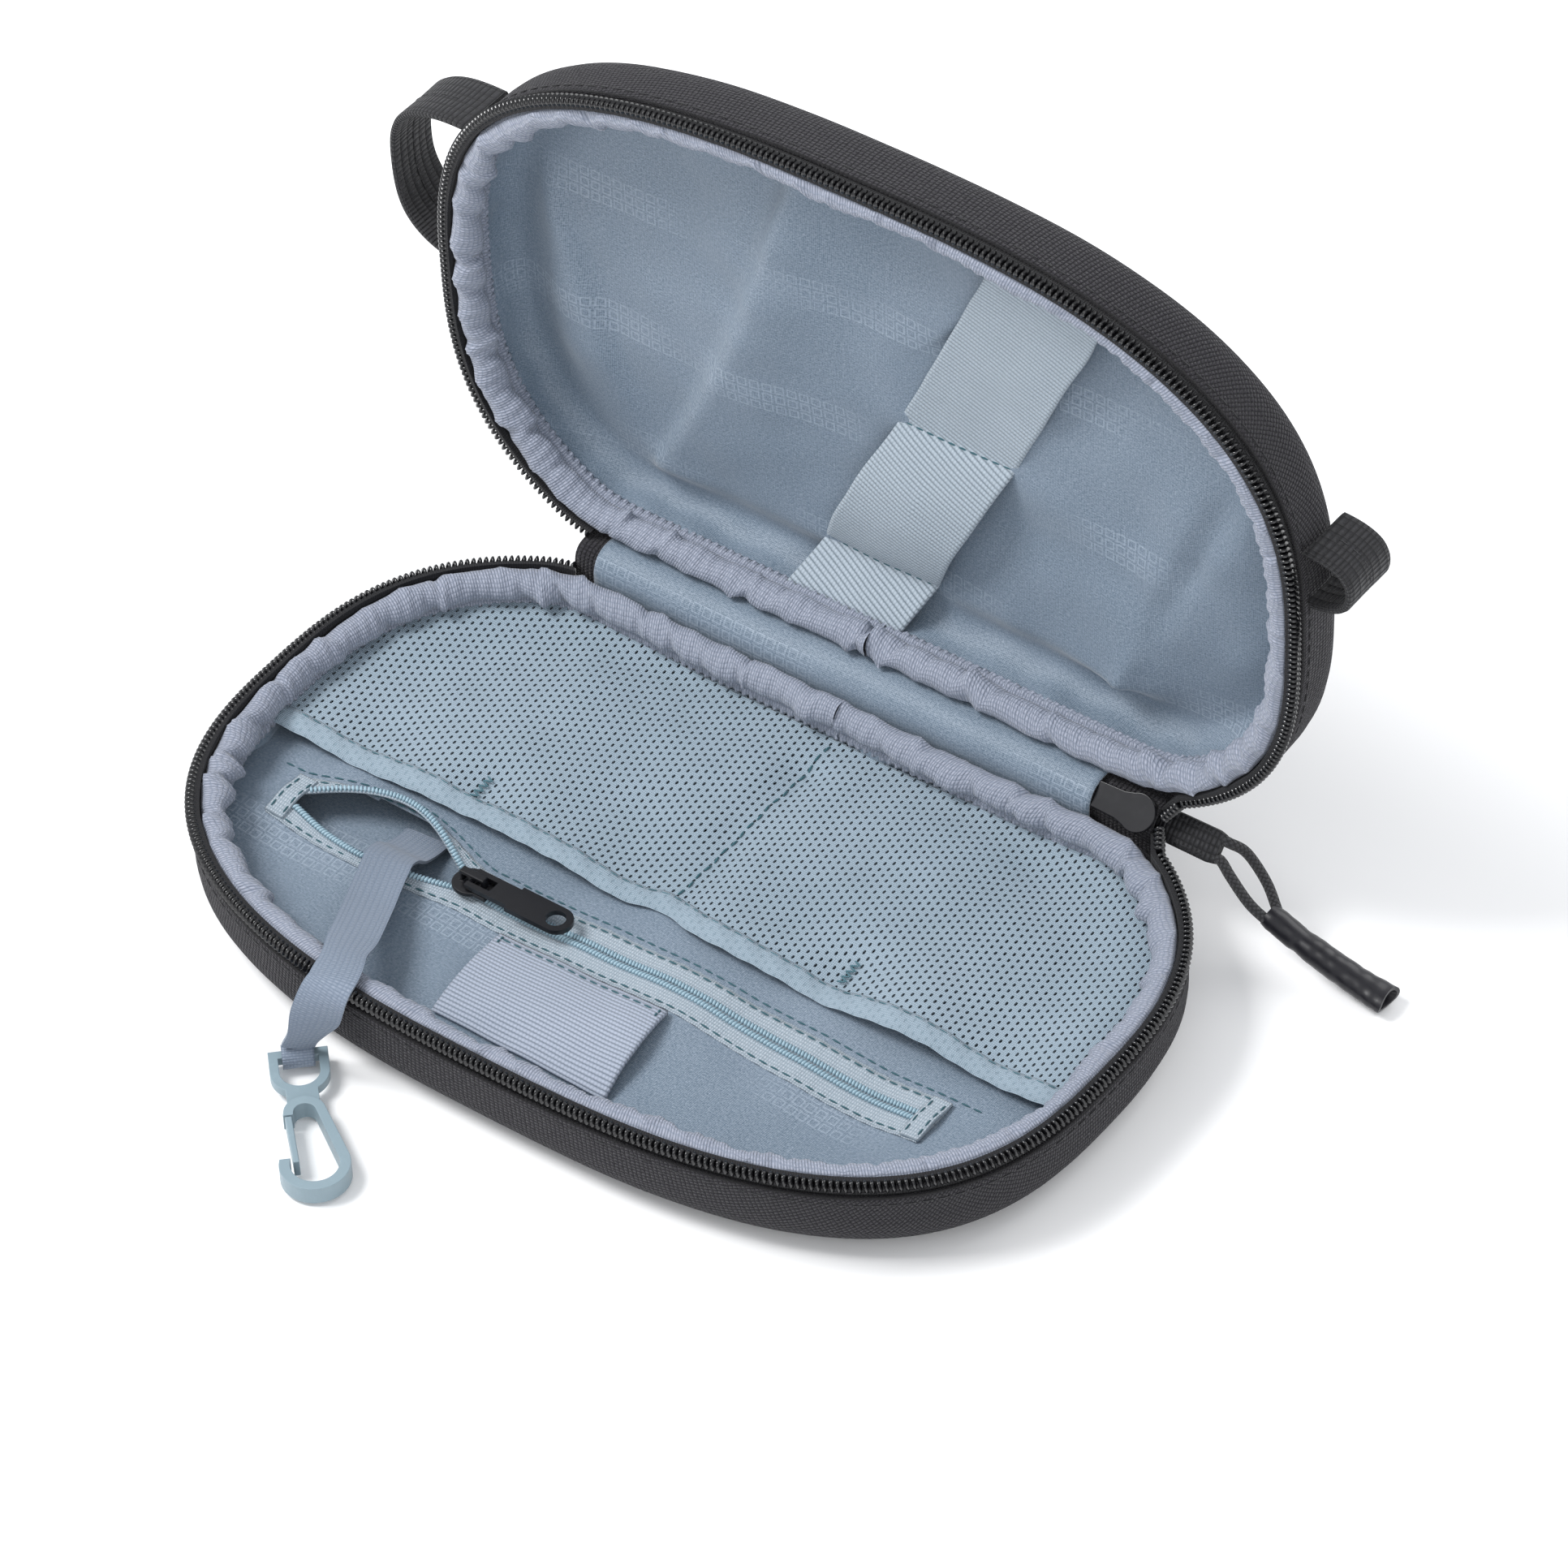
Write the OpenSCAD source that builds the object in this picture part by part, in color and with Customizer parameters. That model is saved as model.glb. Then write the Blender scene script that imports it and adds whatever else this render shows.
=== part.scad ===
// Clamshell cable organizer pouch, open at a right angle.
// +X runs along the hinge, +Y from the front to the lid, +Z up. The base stands on z = 0.
// The lid is drawn like the base, rim up, and then stood on its hinge side.

/* [Shells] */
// Half of the pouch's length
half_len = 102.5; // [90:0.5:124]
// Half of the pouch's depth, if its back were round like its front
half_wid = 67; // [60:0.5:81]
// How square the outline is: 2 is an ellipse
outline_power = 2.75; // [2.4:0.05:3.4]
// Distance from the middle to the flat hinge side
hinge_flat = 57; // [50:0.5:59]
// Distance from the hinge side to the fold line
hinge_gap = 3; // [3:0.1:4]
// Height of one half, from its outer face to the line where the halves meet
half_height = 21.6; // [21.6:0.1:26]
// Rounding of the edge between wall and panel
corner = 9; // [7:0.5:11]
// Height of the outer fabric wall
wall_h = 16.5; // [16:0.1:18]

/* [Layers] */
// Thickness of the outer fabric
fabric_t = 1.2; // [0.8:0.1:1.6]
// Thickness of the foam
foam_t = 2.2; // [1.5:0.1:2.6]
// Thickness of the lining
lining_t = 0.8; // [0.4:0.1:1]
// Height at which the binding starts
binding_foot = 14.5; // [14.5:0.1:15]
// Height of the rolled binding
binding_h = 5.6; // [4.5:0.1:6]
// Width of the rolled binding
binding_w = 4.1; // [3.5:0.1:5]

/* [Main zip] */
// Thickness of the zip tape
tape_t = 0.7; // [0.5:0.1:0.9]
// Height at which the zip tape starts
tape_foot = 12; // [11:0.5:13]
// Thickness of the coil
coil_t = 1.6; // [1.2:0.1:2]
// Height of one half's coil
coil_h = 3; // [2.4:0.1:3.4]
// Gap between a coil and the line where the halves meet
coil_gap = 0.3; // [0.3:0.05:0.6]

/* [Hinge] */
// Left end of the hinge strip
hinge_left = -64; // [-66:0.5:-50]
// Right end of the hinge strip
hinge_right = 57; // [50:0.5:57]
// How far the hinge strip laps down the wall
hinge_lap = 3.5; // [2:0.5:5]

// How far the left end tab laps past the end of the zip tape
end_tab_lap = 0.5; // [0.4:0.1:1]
// How far the right end tab runs past the slider's middle
end_tab_over = 3; // [2:0.5:4]
// Height of the right end tab
end_tab_h = 6.9; // [5:0.1:7]
// Radius of the fold at the fold line
fold_r = 1.2; // [0.9:0.1:1.3]

/* [Main slider] */
// Place of the slider along the hinge
slider_x = 66; // [66:0.5:68]
// Half width of the slider's round end
slider_r = 4; // [3:0.1:4]
// Half thickness of the slider
slider_half_t = 2.6; // [2.2:0.1:2.6]
// Thickness of a slider's plate
plate_t = 1; // [0.8:0.1:1.2]
// Length of the slider's narrow end
slider_tail = 8; // [6:0.5:9]
// Height of the slider's bail
bail_h = 2.6; // [2.6:0.1:3]
// Length of the pull's fabric tab
tab_len_main = 11; // [9:0.5:12]
// Width of the pull's fabric tab
tab_w_main = 7; // [6:0.5:7]
// Diameter of the pull's cord
cord_d = 2.2; // [1.6:0.1:2.4]

/* [Inner pocket] */
// Space under the pocket panel
pocket_space = 4.8; // [4.8:0.1:6]
// Thickness of the panel
panel_t = 0.6; // [0.4:0.1:0.8]
// Place of the pocket zip, towards the front
zip_y = -22; // [-24:0.5:-20]
// Left end of the pocket zip
zip_left = -84; // [-86:0.5:-80]
// Right end of the pocket zip
zip_right = 76; // [70:0.5:78]
// Right end of the open mouth
mouth_end = -36; // [-42:0.5:-36]
// How far the rear tape bows back at the mouth
rear_bow = 9.5; // [6:0.5:10]
// How far the front tape bows forward at the mouth
front_bow = 4.5; // [3:0.5:5]
// Half width of the pocket zip over its tapes
zip_half = 5.5; // [5:0.1:6]
// Width of one pocket coil
pocket_coil_w = 1.8; // [1.4:0.1:2]
// Height of the pocket coil
pocket_coil_h = 1.3; // [1:0.1:1.5]
// Half of the slit between the pocket coils
slit_half = 0.6; // [0.6:0.05:0.8]
// Gap between the pocket slider and what it runs on
run_gap = 0.3; // [0.3:0.05:0.5]
// Length of the pocket slider
slider_len = 9; // [8:0.5:10]
// Height of the pocket slider's crown
crown_h = 2.7; // [2.7:0.1:3.2]
// Length of the pocket slider's pull
pull_len = 19; // [14:0.5:22]
// Width of the pull
pull_w = 6.6; // [6:0.1:7]
// Thickness of the pull
pull_t = 1.2; // [1:0.1:1.2]
// Radius of the hole in the pull
pull_hole_r = 2.1; // [1.5:0.1:2.2]

/* [Mesh pocket] */
// Thickness of the mesh
mesh_t = 0.6; // [0.4:0.1:0.6]
// Front edge of the mesh
mesh_front = -2; // [-6:0.5:2]
// Width of the mesh's hem
hem_w = 6; // [4:0.5:7]
// Thickness of the hem
hem_t = 1; // [0.8:0.1:1.4]
// Clearance between separate pieces of cloth
hem_clear = 0.3; // [0.2:0.05:0.5]
// Left face of the divider seam
divider_x = -1.1; // [-10:0.1:10]
// Thickness of the divider seam
divider_t = 0.8; // [0.4:0.1:1]
// Gap between the divider and the hinge side's lining
divider_back = 0.5; // [0.3:0.1:2]

/* [Pen loop] */
// Left end of the pen loop
pen_left = -23; // [-26:0.5:-20]
// Length of the pen loop
pen_len = 41; // [30:1:45]
// Rear edge of the pen loop
pen_rear = -30; // [-32:0.5:-30]
// Width of the pen loop over its seams
pen_w = 20; // [18:0.5:22]
// Rise of the pen loop's arch
pen_rise = 5.4; // [5:0.1:6]

/* [Elastic band] */
// Width of the band along the hinge direction
band_w = 27.8; // [22:0.2:32]
// Sideways run of the band for each millimetre towards the hinge
band_slant = 0.486; // [0.3:0.01:0.55]
// Thickness of the band
band_t = 1; // [0.6:0.1:1.4]
// Rise of the band's middle loop
band_rise = 6; // [5:0.1:7]
// Place of the band's first seam, towards the hinge
seam_a = 2; // [-4:0.5:6]
// Place of the band's second seam
seam_b = 42.6; // [38:0.1:44]
// Where the band crosses the first seam
band_mid_x = 13.6; // [8:0.1:18]
// How far the corner of the band's top end stops from the round side
band_tuck = 5; // [4.5:0.5:8]
// How far the band's foot stops from the hinge side
foot_tuck = 5.5; // [5.5:0.5:8]

/* [Webbing] */
// Thickness of the black webbing
web_t = 1.4; // [1:0.1:1.6]
// Width of the black webbing
web_w = 14; // [10:0.5:14]
// Length of the grab loop along the wall
grab_len = 39; // [30:1:44]
// How far the grab loop stands out
grab_out = 17; // [12:0.5:20]
// Length of the tab loop along the wall
tab_len = 14; // [12:0.5:16]
// How far the tab loop stands out
tab_out = 10; // [9:0.5:12]
// Place of both loops, towards the hinge
loop_y = -16; // [-24:0.5:0]

/* [Lanyard] */
// Width of the lanyard strap
strap_w = 10; // [8:0.5:11]
// Thickness of the lanyard strap
strap_t = 1; // [0.8:0.1:1]
// Where the strap crosses the front rim
strap_x = -35; // [-45:0.5:-30]
// Thickness of the clip's hook
hook_t = 4; // [3:0.1:4]
// Radius of the clip's eye
eye_r = 5.9; // [5.5:0.1:6.2]
// Radius of the hole in the eye
eye_hole_r = 4; // [3.6:0.1:4.1]
// Half width of the strap's loop in the eye
loop_half_w = 3.2; // [2.4:0.1:3.2]
// Turn of the clip away from straight forward
clip_turn = 43.5; // [30:0.5:50]

/* [Hidden] */
ring_count = 60;
hinge_y = hinge_flat + hinge_gap;
hinge_z = half_height;
foam_in = fabric_t + foam_t;
lining_in = foam_in + lining_t;
tape_out = fabric_t;
tape_in = fabric_t + tape_t;
tape_top = hinge_z - coil_gap - 0.4;
coil_top = hinge_z - coil_gap;
// The pocket panel is sewn in no lower than where the wall stands straight
panel_z = max(lining_in + pocket_space, corner);
panel_top = panel_z + panel_t;
// The mesh hangs from the foot of the binding
mesh_z = binding_foot - mesh_t;
ring_step = 360 / ring_count;
zip_from = 21 * ring_step;
zip_to = 68 * ring_step;
zip_count = 47;

// ---- outlines ----
function signed_pow(v, p) = sign(v) * pow(abs(v), p);
function outline_at(inset, t) = [
    (half_len - inset) * signed_pow(cos(t), 2 / outline_power),
    min((half_wid - inset) * signed_pow(sin(t), 2 / outline_power), hinge_flat - inset)
];
function outline(inset) = [for (i = [0 : ring_count - 1]) outline_at(inset, i * ring_step)];
function wall_y(x, inset) =
    (half_wid - inset) * pow(1 - pow(abs(x) / (half_len - inset), outline_power), 1 / outline_power);
function wall_x(y, inset) =
    (half_len - inset) * pow(1 - pow(abs(y) / (half_wid - inset), outline_power), 1 / outline_power);

// ---- lofts ----
function side_faces(n, m, wrap) = [
    for (i = [0 : n - (wrap ? 1 : 2)], j = [0 : m - 1], k = [0, 1])
        let (i2 = (i + 1) % n, j2 = (j + 1) % m)
            k == 0 ? [i * m + j, i * m + j2, i2 * m + j2] : [i * m + j, i2 * m + j2, i2 * m + j]
];
// Skins a row of sections, each counterclockwise when seen from the first one's side
module loft(sections, wrap = false) {
    n = len(sections);
    m = len(sections[0]);
    caps = wrap ? [] : [[for (j = [m - 1 : -1 : 0]) j], [for (j = [0 : m - 1]) (n - 1) * m + j]];
    polyhedron([for (s = sections) for (p = s) p], concat(side_faces(n, m, wrap), caps), convexity = 10);
}
// A tray: its rings run up the outer wall and down the inner one, each as [inset, height]
module tray(rings) {
    n = len(rings);
    m = ring_count;
    points = [for (r = rings) for (p = outline(r[0])) [p[0], p[1], r[1]]];
    // The cut across each patch always starts at its lower ring, so trays that nest share it
    sides = [
        for (i = [0 : n - 2], j = [0 : m - 1], k = [0, 1])
            let (j2 = (j + 1) % m, a = i * m, b = (i + 1) * m, up = rings[i + 1][1] >= rings[i][1])
                up ? (k == 0 ? [a + j, b + j, b + j2] : [a + j, b + j2, a + j2])
                   : (k == 0 ? [a + j, b + j, a + j2] : [b + j, b + j2, a + j2])
    ];
    caps = [[for (j = [0 : m - 1]) j], [for (j = [m - 1 : -1 : 0]) (n - 1) * m + j]];
    polyhedron(points, concat(sides, caps), convexity = 10);
}
// Rings from the flat panel up a rounded edge to the top of a wall
function rising(inset, top) = concat(
    [for (a = [0 : 30 : 90]) [
        inset + (corner - inset) * (1 - sin(a)),
        inset + (corner - inset) * (1 - cos(a))
    ]],
    [[inset, top]]
);
function reversed(v) = [for (i = [len(v) - 1 : -1 : 0]) v[i]];
// A profile of [inset, height] points carried round the outline
function run(profile, from, to, count) = [
    for (i = [0 : count]) let (t = from + (to - from) * i / count)
        [for (p = profile) let (q = outline_at(p[0], t)) [q[0], q[1], p[1]]]
];
function box_profile(outer, inner, low, high) = [[outer, low], [outer, high], [inner, high], [inner, low]];
// A round tube along points
function unit(v) = v / norm(v);
function tangent(p, i) = unit(p[min(i + 1, len(p) - 1)] - p[max(i - 1, 0)]);
function tube_section(c, d, ru, rv, count) =
    let (u = unit(cross(d, [0, 0, 1])), v = cross(d, u))
        [for (k = [0 : count - 1]) c + ru * cos(k * 360 / count) * u - rv * sin(k * 360 / count) * v];
module tube(p, r) {
    loft([for (i = [0 : len(p) - 1]) tube_section(p[i], tangent(p, i), r, r, 8)]);
}
// A flat strap along points, as wide as strap_w along X
module strap(p, thick, lift = 0) {
    loft([
        for (i = [0 : len(p) - 1])
            let (
                d = tangent([for (q = p) [q[1], q[2]]], i),
                up = [0, d[1], -d[0]],
                side = [-strap_w / 2, 0, 0],
                low = up * (lift - thick / 2),
                high = up * (lift + thick / 2)
            )
                [p[i] + side + low, p[i] + side + high, p[i] - side + high, p[i] - side + low]
    ]);
}
// Stands what is drawn like the base up as the lid
module in_lid() {
    translate([0, hinge_y, hinge_z]) rotate([-90, 0, 0]) mirror([0, 0, 1])
        translate([0, -hinge_y, -hinge_z]) children();
}

// ---- both halves ----
module shell() {
    tray(concat(rising(0, wall_h), reversed(rising(fabric_t, wall_h))));
}
module padding() {
    outer = rising(fabric_t, tape_foot);
    tray(concat(
        outer,
        [[tape_in, tape_foot], [tape_in, binding_foot]],
        reversed(rising(foam_in, binding_foot))
    ));
}
module lining() {
    tray(concat(rising(foam_in, binding_foot), reversed(rising(lining_in, binding_foot))));
}
module binding() {
    top = binding_foot + binding_h;
    inner = tape_in + binding_w;
    loft(run([
        [tape_in, binding_foot], [tape_in, top - 0.7], [tape_in + 0.7, top], [inner - 1.2, top],
        [inner, top - 1.2], [inner, binding_foot + 0.9], [inner - 0.8, binding_foot]
    ], 0, 360 - ring_step, ring_count - 1), wrap = true);
}
module zip_tape() {
    loft(run(box_profile(tape_out, tape_in, tape_foot, tape_top), zip_from, zip_to, zip_count));
}
module zip_coil() {
    low = coil_top - coil_h;
    outer = tape_out - coil_t;
    loft(run([
        [outer + 0.4, low], [outer, low + 0.6], [outer, coil_top - 0.6], [outer + 0.4, coil_top],
        [tape_out, coil_top], [tape_out, low]
    ], zip_from, zip_to, zip_count));
}
module hinge_fabric() {
    translate([hinge_left, hinge_flat, wall_h - hinge_lap])
        cube([hinge_right - hinge_left, fabric_t, coil_top - wall_h + hinge_lap]);
}
module hinge_lining() {
    translate([hinge_left, hinge_flat - lining_t, wall_h])
        cube([hinge_right - hinge_left, lining_t, coil_top - wall_h]);
}

module base_shell() { color("#3c3a3f") shell(); }
module base_padding() { color("#d8d4c8") padding(); }
module base_lining() { color("#7391a5") lining(); }
module base_binding() { color("#a0b2c8") binding(); }
module base_zip_tape() { color("#1d1d20") zip_tape(); }
module base_zip_coil() { color("#0f0f12") zip_coil(); }
module base_hinge_fabric() {
    color("#3c3a3f") {
        hinge_fabric();
        translate([hinge_left, hinge_y, hinge_z]) rotate([0, 90, 0])
            cylinder(h = hinge_right - hinge_left, r = fold_r, $fn = 32);
        translate([hinge_left, hinge_flat + 0.1, hinge_z - fold_r])
            cube([hinge_right - hinge_left, hinge_gap - 0.1, fold_r - coil_gap]);
    }
}
module base_hinge_lining() { color("#7391a5") hinge_lining(); }
module lid_shell() { color("#3c3a3f") in_lid() shell(); }
module lid_padding() { color("#d8d4c8") in_lid() padding(); }
module lid_lining() { color("#7391a5") in_lid() lining(); }
module lid_binding() { color("#a0b2c8") in_lid() binding(); }
module lid_zip_tape() { color("#1d1d20") in_lid() zip_tape(); }
module lid_zip_coil() { color("#0f0f12") in_lid() zip_coil(); }
module lid_hinge_fabric() { color("#3c3a3f") in_lid() hinge_fabric(); }
module lid_hinge_lining() { color("#7391a5") in_lid() hinge_lining(); }

// Fabric tabs where the zip ends at the hinge
module zip_end_left() {
    left = outline_at(tape_out, zip_from)[0] - end_tab_lap;
    color("#1d1d20") translate([left, hinge_flat, wall_h - hinge_lap])
        cube([hinge_left - hem_clear - left, fabric_t, coil_top - wall_h + hinge_lap]);
}
module zip_end_right() {
    color("#1d1d20") translate([hinge_right + hem_clear, hinge_flat, wall_h - 0.1 - end_tab_h])
        cube([slider_x - hinge_right + end_tab_over, fabric_t, end_tab_h]);
}

// ---- base: zip pocket ----
function bow(x, rise) = x > mouth_end ? 0 : rise * pow(sin(180 * (x - zip_left) / (mouth_end - zip_left)), 1.2);
zip_steps = concat([for (x = [zip_left : 4 : mouth_end]) x], [zip_right]);
// Sheet between two curves of the zip: sgn is 1 for the rear side and -1 for the front
module zip_strip(sgn, inner, inner_bow, outer, outer_bow, from, to) {
    xs = concat([from], [for (x = zip_steps) if (x > from && x < to) x], [to]);
    near = [for (x = xs) [x, zip_y + sgn * (inner + bow(x, inner_bow))]];
    far = [for (x = reversed(xs)) [x, zip_y + sgn * (outer + bow(x, outer_bow))]];
    polygon(concat(near, far));
}
rear_edge_bow = rear_bow - 4;
front_edge_bow = front_bow - 3;
module pocket_panel() {
    color("#7391a5") translate([0, 0, panel_z]) linear_extrude(panel_t) difference() {
        polygon(outline(lining_in));
        zip_strip(1, 0, 0, zip_half, rear_edge_bow, zip_left, zip_right);
        zip_strip(-1, -0.01, 0, zip_half, front_edge_bow, zip_left, zip_right);
    }
}
module pocket_tape(sgn, coil_bow, edge_bow) {
    translate([0, 0, panel_z]) linear_extrude(panel_t)
        zip_strip(sgn, slit_half, coil_bow, zip_half, edge_bow, zip_left, zip_right);
}
coil_left = zip_left + 4.3;
coil_right = zip_right - 4.3;
module pocket_coil(sgn, coil_bow) {
    translate([0, 0, panel_top]) linear_extrude(pocket_coil_h)
        zip_strip(sgn, slit_half, coil_bow, slit_half + pocket_coil_w, coil_bow, coil_left, coil_right);
}
module pocket_tape_rear() { color("#9ab4c2") pocket_tape(1, rear_bow, rear_edge_bow); }
module pocket_tape_front() { color("#9ab4c2") pocket_tape(-1, front_bow, front_edge_bow); }
module pocket_coil_rear() { color("#8fabbb") pocket_coil(1, rear_bow); }
module pocket_coil_front() { color("#8fabbb") pocket_coil(-1, front_bow); }
module pocket_end(x) {
    translate([x, zip_y - zip_half, panel_top]) cube([4, 2 * zip_half, panel_t]);
}
module pocket_end_left() { color("#9ab4c2") pocket_end(zip_left); }
module pocket_end_right() { color("#9ab4c2") pocket_end(zip_right - 4); }

// Pocket slider: two plates joined by a web that runs in the slit
pocket_slider_x = mouth_end + 0.5;
top_plate_z = panel_top + pocket_coil_h + run_gap;
crown_z = top_plate_z + plate_t;
bar_z = crown_z + 0.95;
module slider_plan(r, length) {
    translate([-length * 0.12, 0]) circle(r = r, $fn = 48);
    translate([-length * 0.12, -r * 0.72]) square([length * 0.62, r * 1.44]);
}
module pocket_slider() {
    color("#16161a") translate([pocket_slider_x, zip_y, 0]) {
        translate([0, 0, top_plate_z]) linear_extrude(plate_t) slider_plan(3.7, slider_len);
        translate([0, 0, panel_z - run_gap - plate_t]) linear_extrude(plate_t) slider_plan(3.4, slider_len);
        translate([-1, -slit_half + run_gap, panel_z - run_gap - 0.5])
            cube([3, 2 * (slit_half - run_gap), top_plate_z - panel_z + run_gap + 1]);
        for (x = [-3, 2.2])
            translate([x, -0.9, crown_z - 0.1]) cube([0.8, 1.8, crown_h]);
        translate([-3, -0.9, crown_z + crown_h - 0.9]) cube([6, 1.8, 0.8]);
    }
}
module pocket_pull() {
    color("#16161a") translate([pocket_slider_x, zip_y, bar_z]) {
        rotate([90, 0, 0]) cylinder(h = 5, r = 0.55, center = true, $fn = 32);
        for (s = [-1, 1])
            translate([-0.5, s > 0 ? 1.4 : -2.6, -0.6]) cube([6, 1.2, pull_t]);
        translate([0, 0, -0.6]) linear_extrude(pull_t) difference() {
            union() {
                translate([5, -2.6]) square([6, 5.2]);
                translate([10, -pull_w / 2]) square([pull_len - 10 + 1.7, pull_w]);
                translate([pull_len + 1.7, 0]) circle(r = pull_w / 2, $fn = 48);
            }
            translate([pull_len + 1.4, 0]) circle(r = pull_hole_r, $fn = 48);
        }
    }
}

// ---- base: mesh pocket and pen loop ----
module behind(y) { translate([-2 * half_len, y]) square([4 * half_len, 2 * half_wid]); }
module mesh_pocket() {
    color("#96b4be") translate([0, 0, mesh_z]) linear_extrude(mesh_t) intersection() {
        polygon(outline(lining_in));
        behind(mesh_front);
    }
}
module mesh_hem() {
    color("#96b4be") translate([0, 0, mesh_z]) linear_extrude(hem_t) intersection() {
        polygon(outline(tape_in + binding_w + hem_clear));
        translate([-half_len, mesh_front - hem_w]) square([2 * half_len, hem_w]);
    }
}
module mesh_divider() {
    color("#5f8088") translate([divider_x, mesh_front, panel_top])
        cube([divider_t, hinge_flat - lining_in - mesh_front - divider_back, mesh_z - panel_top]);
}
function arch(s, rise) = rise * sin(180 * s);
module pen_loop() {
    steps = [0 : 0.1 : 1];
    top = [for (s = steps) [pen_rear - pen_w * s, panel_top + arch(s, pen_rise) + panel_t]];
    low = [for (s = [1 : -0.1 : 0]) [pen_rear - pen_w * s, panel_top + arch(s, pen_rise)]];
    color("#9fb2c6") translate([pen_left, 0, 0]) rotate([90, 0, 90])
        linear_extrude(pen_len) polygon(concat(top, low));
}

// ---- lid: elastic band ----
band_corner_x = band_mid_x + (seam_a + half_wid - 2 * band_tuck) * band_slant + band_w / 2;
band_top = band_tuck - wall_y(band_corner_x, 0);
band_foot = hinge_flat - foot_tuck;
function band_z(y) = lining_in + (
    y < seam_a ? (binding_foot - 1.2 - band_t - lining_in) * pow((seam_a - y) / (seam_a - band_top), 0.8) :
    y < seam_b ? arch((y - seam_a) / (seam_b - seam_a), band_rise) :
    (binding_foot - 1.2 - band_t - lining_in) * pow((y - seam_b) / (band_foot - seam_b), 0.8)
);
band_rows = concat(
    [for (i = [0 : 9]) band_top + (seam_a - band_top) * i / 10],
    [for (i = [0 : 9]) seam_a + (seam_b - seam_a) * i / 10],
    [for (i = [0 : 4]) seam_b + (band_foot - seam_b) * i / 4]
);
module elastic_band() {
    color("#96afb6") in_lid() loft([
        for (y = reversed(band_rows))
            let (x = band_mid_x - (y - seam_a) * band_slant, z = band_z(y), w = band_w / 2)
                [[x - w, y, z], [x - w, y, z + band_t], [x + w, y, z + band_t], [x + w, y, z]]
    ]);
}

// ---- lid: webbing loops ----
// Half oval loop standing out of an end wall, with feet that lie on the wall
module web_loop(length, out) {
    wall = wall_x(abs(loop_y) + length / 2, 0);
    root = half_len - wall;
    translate([0, 0, wall_h - web_w]) linear_extrude(web_w) difference() {
        intersection() {
            translate([wall, loop_y]) oval(root + out, length / 2);
            translate([wall - 1, loop_y - length]) square([2 * out + root, 2 * length]);
        }
        translate([wall, loop_y]) oval(root + out - web_t, length / 2 - web_t);
        polygon(outline(0));
    }
}
module oval(rx, ry) {
    polygon([for (a = [0 : 10 : 350]) [rx * signed_pow(cos(a), 0.8), ry * signed_pow(sin(a), 0.8)]]);
}
module grab_loop() { color("#1c1c1f") in_lid() mirror([1, 0, 0]) web_loop(grab_len, grab_out); }
module tab_loop() { color("#1c1c1f") in_lid() web_loop(tab_len, tab_out); }

// ---- main slider and its pull ----
module at_slider() { translate([slider_x, hinge_y, hinge_z]) rotate([45, 0, 0]) children(); }
module main_slider() {
    color("#26262a") at_slider() {
        for (z = [slider_half_t - plate_t, -slider_half_t])
            translate([0, 0, z]) linear_extrude(plate_t) {
                translate([2, 0]) circle(r = slider_r, $fn = 64);
                polygon([[-slider_tail, -2.7], [-2, -2.9], [2, -slider_r], [2, slider_r], [-2, 2.9], [-slider_tail, 2.7]]);
            }
        translate([3, -0.8, -slider_half_t + 0.5]) cube([2.2, 1.6, 2 * slider_half_t - 1]);
    }
}
module main_bail() {
    color("#26262a") at_slider() translate([0, 0, -slider_half_t - bail_h]) {
        for (x = [-0.5, 6])
            translate([x, -0.9, 0.9]) cube([0.8, 1.8, x > 0 ? bail_h + plate_t - 0.9 : bail_h - 0.9]);
        translate([-0.5, -0.9, 0]) cube([7.3, 1.8, 0.9]);
    }
}
bar_x = 4;
bar_n = slider_half_t + 0.9;
module pull_tab() {
    color("#1c1c1f") at_slider() translate([bar_x, 0, -bar_n]) {
        rotate([90, 0, 0]) cylinder(h = 6, r = 0.5, center = true, $fn = 32);
        for (s = [-1, 1])
            translate([-0.5, s > 0 ? 1.3 : -3.3, -1.2]) cube([5.5, 2, 1.7]);
        translate([4, -tab_w_main / 2, -1.4]) cube([tab_len_main, tab_w_main, 2.8]);
    }
}
cord_a = [[84, 61.1, 17.8], [86, 61.1, 17.6], [89, 60.1, 15.6], [94, 59.4, 11.4], [99, 60, 8], [102, 60, 7]];
cord_b = [[84, 63.8, 20.4], [86, 64, 20.2], [89, 65.8, 17.6], [94, 65.4, 12.4], [99, 62.6, 8.2], [102, 62.4, 7]];
module pull_cord() {
    color("#141416") {
        tube(cord_a, cord_d / 2);
        tube(cord_b, cord_d / 2);
    }
}
grip_path = [[98, 61.3, 8.6], [104, 61, 6.6], [112, 60.6, 4.6], [120, 60.2, 3.1], [126, 60, 2.5]];
grip_w = [2.6, 2.8, 3.1, 3.4, 3.9];
grip_h = [2.4, 2.7, 2.9, 2.6, 2.1];
module pull_grip() {
    color("#18181b") loft([
        for (i = [0 : len(grip_path) - 1])
            tube_section(grip_path[i], tangent(grip_path, i), grip_w[i], grip_h[i], 16)
    ]);
}

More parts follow.
